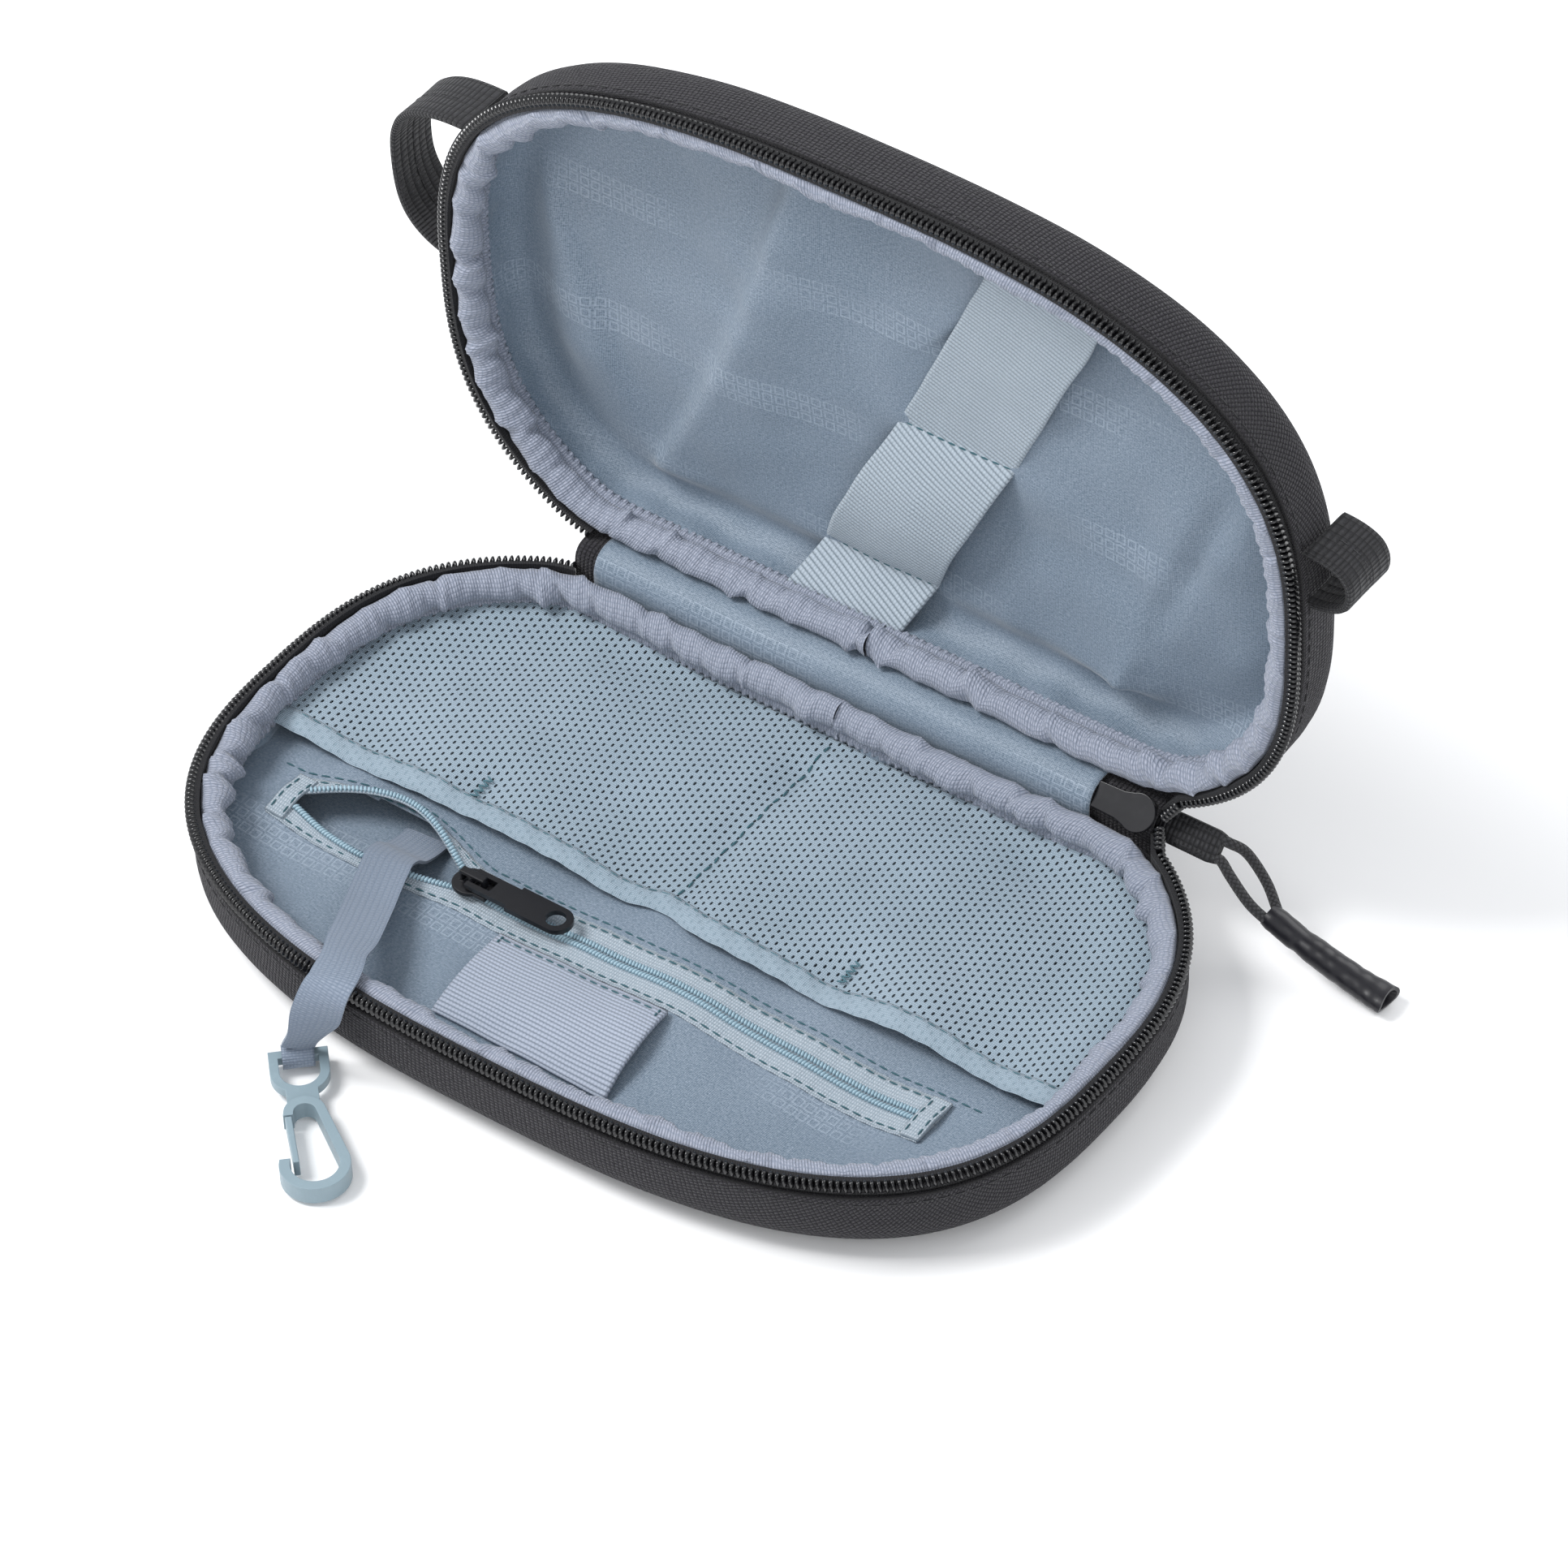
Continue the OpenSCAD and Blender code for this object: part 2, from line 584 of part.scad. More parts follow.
// ---- lanyard and clip ----
// The route is set from the pocket mouth, the front wall and the top of the coil
front_y = -wall_y(strap_x, 0);
inner_route = [
    [strap_x - 20, zip_y + 6, panel_z - 2.4],
    [strap_x - 19.6, zip_y + 2, panel_z - 1.4],
    [strap_x - 19.2, zip_y - 1, panel_z + 1],
    [strap_x - 18.4, zip_y - 4, panel_z + 3.2],
    [strap_x - 17, zip_y - 7.5, panel_z + 4.2],
    [strap_x - 12, front_y + 25.7, coil_top - 5.9],
    [strap_x - 6, front_y + 13.7, coil_top - 2.3],
    [strap_x - 3.4, front_y + 7.7, coil_top + 0.1],
    [strap_x - 1.4, front_y + 3.7, coil_top + 0.9],
    [strap_x, front_y - 0.3, coil_top + 0.9]
];
clip_z = 2.5;
outer_route = [
    [strap_x + 0.2, front_y - 1.7, coil_top + 0.6],
    [strap_x, front_y - 3.1, coil_top - 0.7],
    [strap_x - 0.6, front_y - 4.1, coil_top - 2.9],
    [strap_x - 1.8, front_y - 4.9, coil_top - 6.9],
    [strap_x - 3.6, front_y - 5.6, clip_z + 7.9]
];
clip_at = [strap_x - 6, front_y - 6.3, clip_z];
bar_clear = 1.6;
module at_clip() { translate(clip_at) rotate([0, 0, clip_turn]) children(); }
module lanyard_inner() { color("#93a9c0") strap(inner_route, strap_t); }
module lanyard_outer() {
    color("#93a9c0") {
        strap(outer_route, strap_t);
        at_clip() difference() {
            translate([-loop_half_w, -2.4, -2.4]) cube([2 * loop_half_w, 4.8, 5.2]);
            translate([-5, -bar_clear, -bar_clear]) cube([10, 2 * bar_clear, 2 * bar_clear]);
        }
        end = outer_route[len(outer_route) - 1];
        turn = [cos(clip_turn), sin(clip_turn), 0] * loop_half_w;
        deep = [-sin(clip_turn), cos(clip_turn), 0] * 2;
        foot = clip_at + [0, 0, 2.4];
        wide = [strap_w / 2, 0, 0];
        thick = [0, strap_t * 0.7, 0];
        loft([
            [end - wide - thick, end + wide - thick, end + wide + thick, end - wide + thick],
            [foot - turn - deep, foot + turn - deep, foot + turn + deep, foot - turn + deep]
        ]);
    }
}
module lanyard_bartack() {
    color("#5f8088") strap([outer_route[1], outer_route[2]], 0.5, strap_t / 2 + 0.25);
}
eye_v = 1 - eye_r;
neck_v = -14;
module clip_outline(top_r, low_r) {
    hull() {
        translate([0, -17]) circle(r = top_r, $fn = 48);
        translate([0.8, -31]) circle(r = low_r, $fn = 64);
    }
}
module clip_body() {
    color("#a5bec8") at_clip() {
        translate([0, 0, -1]) linear_extrude(2) difference() {
            union() {
                translate([0, eye_v]) circle(r = eye_r, $fn = 64);
                translate([-eye_r, eye_v]) square([2 * eye_r, eye_r]);
                translate([-3.2, neck_v]) square([6.4, 6]);
            }
            translate([0, eye_v]) circle(r = eye_hole_r, $fn = 64);
            translate([-eye_hole_r, eye_v]) square([2 * eye_hole_r, eye_r - 2]);
        }
        translate([0, 0, -hook_t / 2]) linear_extrude(hook_t) difference() {
            clip_outline(4.2, 7);
            clip_outline(2.2, 4.8);
            translate([-10, -29]) square([8.8, 11.5]);
        }
    }
}
module clip_gate() {
    color("#a5bec8") at_clip() translate([0, 0, -hook_t / 2]) linear_extrude(hook_t)
        polygon([[-4, -17.8], [-2.6, -17.8], [-2.1, -30.2], [-3.3, -30.2]]);
}

base_shell();
base_padding();
base_lining();
base_binding();
base_zip_tape();
base_zip_coil();
base_hinge_fabric();
base_hinge_lining();
lid_shell();
lid_padding();
lid_lining();
lid_binding();
lid_zip_tape();
lid_zip_coil();
lid_hinge_fabric();
lid_hinge_lining();
zip_end_left();
zip_end_right();
pocket_panel();
pocket_tape_rear();
pocket_tape_front();
pocket_coil_rear();
pocket_coil_front();
pocket_end_left();
pocket_end_right();
pocket_slider();
pocket_pull();
mesh_pocket();
mesh_hem();
mesh_divider();
pen_loop();
elastic_band();
grab_loop();
tab_loop();
main_slider();
main_bail();
pull_tab();
pull_cord();
pull_grip();
lanyard_inner();
lanyard_outer();
lanyard_bartack();
clip_body();
clip_gate();
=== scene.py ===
import math
from functools import lru_cache

import bmesh
import bpy
import numpy as np
from mathutils import Matrix, Vector, noise


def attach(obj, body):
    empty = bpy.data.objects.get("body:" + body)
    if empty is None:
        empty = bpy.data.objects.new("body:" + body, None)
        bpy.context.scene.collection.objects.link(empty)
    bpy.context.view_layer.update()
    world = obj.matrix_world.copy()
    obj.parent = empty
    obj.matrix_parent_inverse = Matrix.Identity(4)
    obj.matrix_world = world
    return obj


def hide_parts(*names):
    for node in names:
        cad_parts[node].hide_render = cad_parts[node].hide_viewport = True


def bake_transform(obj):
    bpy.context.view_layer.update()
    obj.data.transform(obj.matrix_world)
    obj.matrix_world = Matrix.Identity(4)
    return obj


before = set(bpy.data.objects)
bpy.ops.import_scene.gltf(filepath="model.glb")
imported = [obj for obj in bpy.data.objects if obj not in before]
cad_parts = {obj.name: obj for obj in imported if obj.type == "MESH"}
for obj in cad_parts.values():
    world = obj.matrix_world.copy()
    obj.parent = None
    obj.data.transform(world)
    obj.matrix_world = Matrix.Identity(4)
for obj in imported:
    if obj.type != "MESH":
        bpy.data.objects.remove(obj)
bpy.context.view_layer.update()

# All shapes are worked out in millimetres and made metres when a piece is finished.
pouch = {"halfLength": 102.5, "halfDepth": 67.0, "squareness": 2.75, "hingeFlat": 57.0,
         "axisY": 60.0, "axisZ": 21.6, "corner": 9.0, "wallTop": 16.5, "floor": 4.2,
         "zipFrom": 126.0, "zipTo": 408.0}
toMetres = Matrix.Scale(0.001, 4)
stoodUp = Matrix(((1, 0, 0, 0), (0, 0, -1, pouch["axisY"] + pouch["axisZ"]),
                  (0, -1, 0, pouch["axisY"] + pouch["axisZ"]), (0, 0, 0, 1)))


# ---- camera, at the angle the pouch is looked at ----
cameraSet = {"azimuth": 38.24, "elevation": 43.85, "roll": -2.87, "distance": 1.608,
             "target": (0.00358, 0.02862, 0.020), "lens": 186.34}


def placeCamera(look):
    turn, lift, roll = (math.radians(look[k]) for k in ("azimuth", "elevation", "roll"))
    back = Vector((math.sin(turn) * math.cos(lift), -math.cos(turn) * math.cos(lift), math.sin(lift)))
    right = Vector((math.cos(turn), math.sin(turn), 0))
    up = back.cross(right)
    sideways = right * math.cos(roll) + up * math.sin(roll)
    upright = up * math.cos(roll) - right * math.sin(roll)
    lens = bpy.data.cameras.new("camera")
    lens.sensor_width = 36
    lens.lens = look["lens"]
    lens.clip_start, lens.clip_end = 0.05, 20
    camera = bpy.data.objects.new("camera", lens)
    bpy.context.scene.collection.objects.link(camera)
    place = Vector(look["target"]) + back * look["distance"]
    turned = Matrix((sideways, upright, back)).transposed().to_4x4()
    camera.matrix_world = Matrix.Translation(place) @ turned
    bpy.context.scene.camera = camera


placeCamera(cameraSet)
print("camera placed")


# ---- shader sums ----
class Value:
    # a socket that takes part in sums, each sum adding its Math node
    def __init__(self, tree, socket):
        self.tree, self.socket = tree, socket

    def maths(self, kind, *items):
        node = self.tree.nodes.new("ShaderNodeMath")
        node.operation = kind
        for slot, item in zip(node.inputs, items):
            if isinstance(item, Value):
                self.tree.links.new(item.socket, slot)
            else:
                slot.default_value = item
        return Value(self.tree, node.outputs[0])

    def __add__(self, other):
        return self.maths("ADD", self, other)

    def __sub__(self, other):
        return self.maths("SUBTRACT", self, other)

    def __rsub__(self, other):
        return self.maths("SUBTRACT", other, self)

    def __mul__(self, other):
        return self.maths("MULTIPLY", self, other)

    def __truediv__(self, other):
        return self.maths("DIVIDE", self, other)

    def __gt__(self, other):
        return self.maths("GREATER_THAN", self, other)

    def __pow__(self, other):
        return self.maths("POWER", self, other)

    __radd__ = __add__
    __rmul__ = __mul__

    def sine(self):
        return self.maths("SINE", self)

    def size(self):
        return self.maths("ABSOLUTE", self)

    def part(self):
        return self.maths("FRACT", self)

    def whole(self):
        return self.maths("FLOOR", self)

    def most(self, other):
        return self.maths("MAXIMUM", self, other)

    def least(self, other):
        return self.maths("MINIMUM", self, other)


class Finish:
    # one material, with its shader and the few nodes that most finishes share
    def __init__(self, name, **fixed):
        self.material = bpy.data.materials.new(name)
        self.material.use_nodes = True
        self.tree = self.material.node_tree
        self.shader = self.tree.nodes["Principled BSDF"]
        for socket, value in fixed.items():
            self.shader.inputs[socket.replace("_", " ")].default_value = value

    def node(self, kind, settings=None, sockets=None, out=0):
        node = self.tree.nodes.new(kind)
        for key, value in (settings or {}).items():
            if key == "stops":
                ramp = node.color_ramp
                while len(ramp.elements) < len(value):
                    ramp.elements.new(0.5)
                for stop, (place, shade) in zip(ramp.elements, value):
                    stop.position, stop.color = place, shade
            else:
                setattr(node, key, value)
        for key, value in (sockets or {}).items():
            if isinstance(value, Value):
                self.tree.links.new(value.socket, node.inputs[key])
            else:
                node.inputs[key].default_value = value
        return Value(self.tree, node.outputs[out])

    def across(self):
        # the piece's own map, in millimetres: along and across the cloth
        place = self.node("ShaderNodeUVMap", {"uv_map": "UVMap"})
        return (self.node("ShaderNodeSeparateXYZ", None, {0: place}, 0),
                self.node("ShaderNodeSeparateXYZ", None, {0: place}, 1), place)

    def inSpace(self):
        return self.node("ShaderNodeTexCoord", None, None, 3)

    def cloud(self, place, scale, detail=3.0, rough=0.55):
        return self.node("ShaderNodeTexNoise", None,
                         {"Vector": place, "Scale": scale, "Detail": detail, "Roughness": rough}, 0)

    def mix(self, share, first, second):
        return self.node("ShaderNodeMix", {"data_type": "RGBA"}, {0: share, 6: first, 7: second}, 2)

    def ramp(self, value, *stops):
        return self.node("ShaderNodeValToRGB", {"stops": stops}, {0: value})

    def set(self, socket, value):
        self.tree.links.new(value.socket, self.shader.inputs[socket])

    def raised(self, height, strength, distance):
        bump = self.node("ShaderNodeBump", None,
                         {"Height": height, "Strength": strength, "Distance": distance}, 0)
        self.set("Normal", bump)


def shade(colour, factor=1.0):
    return tuple(min(1.0, c * factor) for c in colour[:3]) + (1.0,)


# Colours are linear.
colours = {
    "charcoal": (0.0115, 0.011, 0.0135), "charcoalLight": (0.052, 0.049, 0.058),
    "blackCloth": (0.006, 0.006, 0.007), "blackLight": (0.026, 0.026, 0.030),
    "lining": (0.098, 0.143, 0.192), "liningLight": (0.330, 0.385, 0.460),
    "binding": (0.170, 0.200, 0.262), "bindingLight": (0.430, 0.450, 0.535),
    "mesh": (0.170, 0.240, 0.292), "meshLight": (0.385, 0.465, 0.540),
    "band": (0.190, 0.250, 0.300), "bandLight": (0.420, 0.480, 0.540),
    "tape": (0.255, 0.320, 0.375), "tapeLight": (0.510, 0.555, 0.610),
    "ribbon": (0.140, 0.180, 0.240), "ribbonLight": (0.270, 0.310, 0.385),
    "penWeb": (0.205, 0.260, 0.335), "penWebLight": (0.400, 0.440, 0.530),
    "clip": (0.245, 0.325, 0.370), "thread": (0.030, 0.085, 0.105),
    "liningThread": (0.060, 0.130, 0.160),
}


def wovenFinish(name, base, light, pitch, rough=0.82, sheen=0.15, distort=0.0, strength=0.6,
                distance=0.0002, contrast=0.75, patchy=0.16, specular=0.3, ribs=0.0):
    # over-and-under yarns on the piece's own map; ribs makes the cross yarns stand up like grosgrain
    look = Finish(name, Roughness=rough, Sheen_Weight=sheen, Sheen_Roughness=0.4,
                  Specular_IOR_Level=specular)
    u, v, place = look.across()
    if distort:
        wander = look.cloud(place, 0.9 / max(pitch), 2.0) - 0.5
        u = u + wander * distort
        v = v - wander * distort
    long = (u * (math.pi / pitch[0])).sine()
    cross = (v * (math.pi / pitch[1])).sine()
    check = long * cross
    height = check.size() ** 0.6
    if ribs:
        height = height * (1 - ribs) + (long.size() ** 0.7) * ribs
    patches = look.cloud(look.inSpace(), 38, 4.0)
    yarn = look.cloud(place, 1.6 / min(pitch), 1.0)
    shareOf = (height * contrast + check * 0.12 + (yarn - 0.5) * 0.5 + (patches - 0.5) * patchy * 2)
    shareOf = shareOf.most(0.0).least(1.0)
    look.set("Base Color", look.mix(shareOf, shade(base), shade(light)))
    look.set("Roughness", (rough + 0.06) - height * 0.14 + (patches - 0.5) * 0.1)
    look.raised(height + (yarn - 0.5) * 0.5, strength, distance)
    return look


def liningFinish():
    # fine nylon with a broken grid of small squares in bands
    look = Finish("liningNylon", Roughness=0.5, Sheen_Weight=0.35, Sheen_Roughness=0.35,
                  Specular_IOR_Level=0.45)
    u, v, place = look.across()
    fine = (u * (math.pi / 0.38)).sine() * (v * (math.pi / 0.38)).sine()
    patches = look.cloud(look.inSpace(), 30, 4.0)
    yarn = look.cloud(place, 2.6, 1.0)
    pitch = 2.7
    cellU, cellV = (u / pitch).part(), (v / pitch).part()
    reach = (cellU - 0.5).size().most((cellV - 0.5).size())
    squares = (1 - (reach > 0.40)) * (reach > 0.28)
    row = (v / (pitch * 12)).part()
    bands = (row > 0.1667) * (1 - (row > 0.4166))
    fading = ((look.cloud(place, 0.03, 1.0) - 0.40) * 5).most(0.0).least(1.0)
    worn = 0.6 + look.cloud(place, 0.9, 1.0) * 0.6
    marked = squares * bands * fading * worn
    flecks = look.cloud(look.node("ShaderNodeCombineXYZ", None, {0: u * 0.8, 1: v * 2.2}), 1.3, 2.0)
    shareOf = fine.size() * 0.4 + (yarn - 0.5) * 1.1 + (flecks - 0.5) * 0.9 + (patches - 0.5) * 0.3 + 0.15
    shareOf = shareOf.most(0.0).least(1.0)
    cloth = look.mix(shareOf, shade(colours["lining"]), shade(colours["liningLight"]))
    look.set("Base Color", look.mix(marked * 0.34, cloth, shade(colours["liningLight"], 1.3)))
    look.set("Roughness", 0.52 - marked * 0.14 + (patches - 0.5) * 0.12)
    look.raised(fine.size() * 0.6 + marked * 0.7 + (yarn - 0.5) * 0.6 + flecks * 0.4, 0.45, 0.00014)
    return look


def meshFinish():
    # warp knit with rows of slotted holes, the rows set half a pitch apart
    look = Finish("pocketMesh", Roughness=0.74, Sheen_Weight=0.2, Sheen_Roughness=0.4,
                  Specular_IOR_Level=0.3)
    u, v, _ = look.across()
    pitchU, pitchV = 1.55, 1.9
    column = (u / pitchU).whole()
    odd = (column / 2).part() * 2
    cellU = ((u / pitchU).part() - 0.5).size() * pitchU
    cellV = ((v / pitchV + odd * 0.5).part() - 0.5).size() * pitchV
    far = ((cellU / 0.25) ** 2.4 + (cellV / 0.46) ** 2.4)
    hole = (1 - (far > 1.0)) * (v > 4.6)
    # painted shade: the ring round each hole is darkened as shade at the opening; where v is under 4.6 mm, by
    # the hem, no hole is cut and a fainter painted dark spot stands in for a shaded hole
    rim = (1.6 - far).most(0.0).least(1.0) * (0.45 + (v > 4.6) * 0.4)
    fine = (u * (math.pi / 0.39)).sine() * (v * (math.pi / 0.475)).sine()
    patches = look.cloud(look.inSpace(), 30, 4.0)
    # the rim's painted shade is taken off the cloth's colour here
    shareOf = (fine.size() * 0.5 + 0.3 - rim * 0.6 + (patches - 0.5) * 0.4).most(0.0).least(1.0)
    look.set("Base Color", look.mix(shareOf, shade(colours["mesh"]), shade(colours["meshLight"])))
    look.set("Roughness", 0.8 - fine.size() * 0.12)
    look.set("Alpha", 1 - hole)
    look.raised(fine.size() * 0.5 - rim, 0.7, 0.0003)
    look.material.blend_method = "HASHED"
    return look


def ribbedFinish(name, base, light, pitch, weft, rough=0.7, deep=0.00035):
    # elastic: cords across the band, with the cover yarns going round them
    look = Finish(name, Roughness=rough, Sheen_Weight=0.2, Sheen_Roughness=0.4, Specular_IOR_Level=0.3)
    u, v, place = look.across()
    cord = (v * (math.pi / pitch)).sine().size() ** 0.6
    wrap = (u * (math.pi / weft) + (v / pitch).whole() * (math.pi / 2)).sine().size()
    patches = look.cloud(look.inSpace(), 34, 4.0)
    yarn = look.cloud(place, 2.0, 1.0)
    shareOf = (cord * 0.75 + wrap * 0.2 + (yarn - 0.5) * 0.4 + (patches - 0.5) * 0.3 - 0.05).most(0.0).least(1.0)
    look.set("Base Color", look.mix(shareOf, shade(base, 0.72), shade(light)))
    look.set("Roughness", rough + 0.1 - cord * 0.16)
    look.raised(cord + wrap * 0.22 + (yarn - 0.5) * 0.2, 0.75, deep)
    return look


def mouldedFinish(name, base, rough, coat=0.0, grain=420, bump=0.05, mottle=0.2, worn=1.35):
    # moulded plastic, rubber or painted metal: faint grain, patchy gloss and paler handled spots
    look = Finish(name, Specular_IOR_Level=0.36, Coat_Weight=coat, Coat_Roughness=0.15)
    place = look.inSpace()
    patches = look.cloud(place, 90, 4.0)
    specks = look.cloud(place, grain, 2.0)
    scuffs = look.ramp(look.cloud(place, 260, 5.0, 0.7), (0.55, (0, 0, 0, 1)), (0.72, (1, 1, 1, 1)))
    look.set("Base Color", look.mix((patches - 0.5) * mottle * 2 + greyOf(look, scuffs) * 0.35 + 0.3,
                                    shade(base, 0.85), shade(base, worn)))
    look.set("Roughness", rough + (patches - 0.5) * 0.18 + greyOf(look, scuffs) * 0.12)
    look.raised(specks, bump, 0.00012)
    return look


def greyOf(look, colour):
    return look.node("ShaderNodeRGBToBW", None, {0: colour})


def braidFinish():
    look = Finish("braidedCord", Roughness=0.7, Sheen_Weight=0.15, Specular_IOR_Level=0.35)
    u, v, place = look.across()
    one = ((u / 1.1 + v / 1.15) * math.pi).sine()
    two = ((u / 1.1 - v / 1.15) * math.pi).sine()
    strands = (one * two).size() ** 0.6
    yarn = look.cloud(place, 2.4, 1.0)
    look.set("Base Color", look.mix((strands + (yarn - 0.5) * 0.4).most(0.0).least(1.0),
                                    shade(colours["blackCloth"], 0.8), shade(colours["blackLight"], 1.2)))
    look.set("Roughness", 0.76 - strands * 0.15)
    look.raised(strands, 0.9, 0.00035)
    return look


finishes = {
    "outer": wovenFinish("outerPolyester", colours["charcoal"], colours["charcoalLight"], (1.0, 0.8),
                         0.86, 0.1, 0.5, 0.95, 0.00045, 0.55, 0.1, 0.22),
    "lining": liningFinish(),
    "binding": wovenFinish("rimBinding", colours["binding"], colours["bindingLight"], (0.62, 0.95), 0.7,
                           0.25,
                           0.05, 0.7, 0.0003, 0.6, 0.1, 0.35, 0.35),
    "blackTape": wovenFinish("zipTape", colours["blackCloth"], colours["blackLight"], (0.5, 0.5), 0.8, 0.1,
                             0.04, 0.6, 0.0002, 0.6, 0.1, 0.3),
    "webbing": wovenFinish("blackWebbing", colours["blackCloth"], colours["blackLight"], (1.05, 1.6), 0.72,
                           0.1,
                           0.05, 0.9, 0.0004, 0.75, 0.08, 0.35, 0.3),
    "mesh": meshFinish(),
    "elastic": ribbedFinish("elasticBand", colours["band"], colours["bandLight"], 1.15, 0.7),
    "loop": ribbedFinish("penLoopWeb", colours["penWeb"], colours["penWebLight"], 1.0, 0.8),
    "ribbon": wovenFinish("strapRibbon", colours["ribbon"], colours["ribbonLight"], (0.5, 0.7), 0.62, 0.2,
                          0.04, 0.6, 0.0002, 0.55, 0.08, 0.35, 0.4),
    "pocketTape": wovenFinish("pocketZipTape", colours["tape"], colours["tapeLight"], (0.55, 0.8), 0.75,
                              0.2,
                              0.03, 0.7, 0.00025, 0.6, 0.1, 0.3),
    "coil": mouldedFinish("zipCoil", (0.004, 0.004, 0.005), 0.16, 0.6, 300, 0.02, 0.1, 1.6),
    "pocketCoil": mouldedFinish("pocketCoil", (0.340, 0.480, 0.560), 0.38, 0.1, 300, 0.02, 0.1, 1.15),
    "slider": mouldedFinish("sliderPaint", (0.006, 0.006, 0.008), 0.34, 0.04, 500, 0.08, 0.2, 1.7),
    "blackSlider": mouldedFinish("pocketSliderPaint", (0.004, 0.004, 0.0055), 0.34, 0.2, 500, 0.06, 0.2,
                                 1.9),
    "grip": mouldedFinish("gripRubber", (0.007, 0.0068, 0.0095), 0.34, 0.1, 220, 0.12, 0.3, 1.7),
    "clip": mouldedFinish("clipPlastic", colours["clip"], 0.42, 0.05, 300, 0.04, 0.12, 1.1),
    "cord": braidFinish(),
    "thread": wovenFinish("tealThread", colours["thread"], shade(colours["thread"], 2.2), (0.3, 0.3), 0.6,
                          0.1),
    "liningThread": wovenFinish("palerThread", colours["liningThread"], shade(colours["liningThread"], 2.0),
                                (0.3, 0.3),
                                0.6, 0.1),
    "foam": mouldedFinish("foam", (0.62, 0.60, 0.55), 0.85, 0.0, 500, 0.3, 0.3, 1.1),
    "blackThread": wovenFinish("blackThread", colours["blackCloth"], (0.06, 0.06, 0.066), (0.3, 0.3), 0.55,
                               0.1),
}
print("finishes made")


# ---- making pieces ----
def blank():
    bm = bmesh.new()
    bm.loops.layers.uv.new("UVMap")
    return bm


def sheetGrid(bm, countU, countV, place, spread):
    # a grid of squares moved to its place; spread gives its flat map in millimetres
    layer = bm.loops.layers.uv.active
    made = bmesh.ops.create_grid(bm, x_segments=countU, y_segments=countV, size=0.5)["verts"]
    spots = {vert: (vert.co.x + 0.5, vert.co.y + 0.5) for vert in made}
    for face in {face for vert in made for face in vert.link_faces}:
        for loop in face.loops:
            loop[layer].uv = spread(*spots[loop.vert])
    for vert, (u, v) in spots.items():
        vert.co = place(u, v)
    return made


seamGap = 0.002


def joinSeam(bm):
    # a wrapped grid's first and last rows become one
    bmesh.ops.remove_doubles(bm, verts=bm.verts, dist=seamGap)


def closeEnds(bm):
    bmesh.ops.holes_fill(bm, edges=[edge for edge in bm.edges if edge.is_boundary], sides=0)


def finishPiece(name, bm, look, body, replaces=(), lid=False, closed=True, smooth=60.0, thick=None,
                offset=0.0, levels=0):
    joinSeam(bm)
    if lid:
        bm.transform(stoodUp)
    if closed:
        bmesh.ops.recalc_face_normals(bm, faces=bm.faces)
    elif lid:
        bmesh.ops.reverse_faces(bm, faces=bm.faces)
    bm.transform(toMetres)
    mesh = bpy.data.meshes.new(name)
    bm.to_mesh(mesh)
    bm.free()
    mesh.polygons.foreach_set("use_smooth", [True] * len(mesh.polygons))
    mesh.set_sharp_from_angle(angle=math.radians(smooth))
    mesh.materials.append(finishes[look].material)
    piece = bpy.data.objects.new(name, mesh)
    bpy.context.scene.collection.objects.link(piece)
    if thick:
        wall = piece.modifiers.new("thickness", "SOLIDIFY")
        wall.thickness, wall.offset = thick * 0.001, offset
    if levels:
        soft = piece.modifiers.new("soft", "SUBSURF")
        soft.levels = soft.render_levels = levels
    if body:
        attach(piece, body)
    if replaces:
        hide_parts(*replaces)
    return piece


def mixed(a, b, share):
    return a + (b - a) * share


def eased(value):
    value = min(1.0, max(0.0, value))
    return value * value * (3 - 2 * value)


def hump(distance, width):
    return math.exp(-(distance / width) ** 2)


def drift(x, y, z, scale):
    return noise.noise(Vector((x * scale, y * scale, z * 7.3)))


# ---- the outline both halves share ----
def outlinePoint(inset, degrees):
    angle = math.radians(degrees)
    c, s = math.cos(angle), math.sin(angle)
    power = 2 / pouch["squareness"]
    x = (pouch["halfLength"] - inset) * math.copysign(abs(c) ** power, c)
    y = (pouch["halfDepth"] - inset) * math.copysign(abs(s) ** power, s)
    flat = pouch["hingeFlat"] - inset
    over = max(0.0, 3.0 - abs(y - flat)) / 3.0
    return x, min(y, flat) - over * over * 0.75 * (y > 0)


# closer together where the outline's curve is flattest
quarter = np.linspace(0, 1, 361)[:-1]
turns = np.concatenate([90 * (q + 1) + 90 * quarter ** 2 * (3 - 2 * quarter) for q in range(4)] + [[450.0]])
rimPoints = np.array([outlinePoint(0, t) for t in turns])
rimSteps = np.concatenate([[0], np.cumsum(np.linalg.norm(np.diff(rimPoints, axis=0), axis=1))])
rimLength = float(rimSteps[-1])
rimShares = rimSteps / rimLength


@lru_cache(maxsize=None)
def turnAt(share):
    return float(np.interp(share, rimShares, turns))


def shareAt(turn):
    return float(np.interp(turn, turns, rimShares))


@lru_cache(maxsize=None)
def rimPlace(share, inset):
    # point on the outline and its outward direction
    turn = turnAt(share)
    x, y = outlinePoint(inset, turn)
    x1, y1 = outlinePoint(inset, turn - 0.4)
    x2, y2 = outlinePoint(inset, turn + 0.4)
    out = Vector((y2 - y1, x1 - x2)).normalized()
    return x, y, out


zipFrom, zipTo = shareAt(pouch["zipFrom"]), shareAt(pouch["zipTo"])


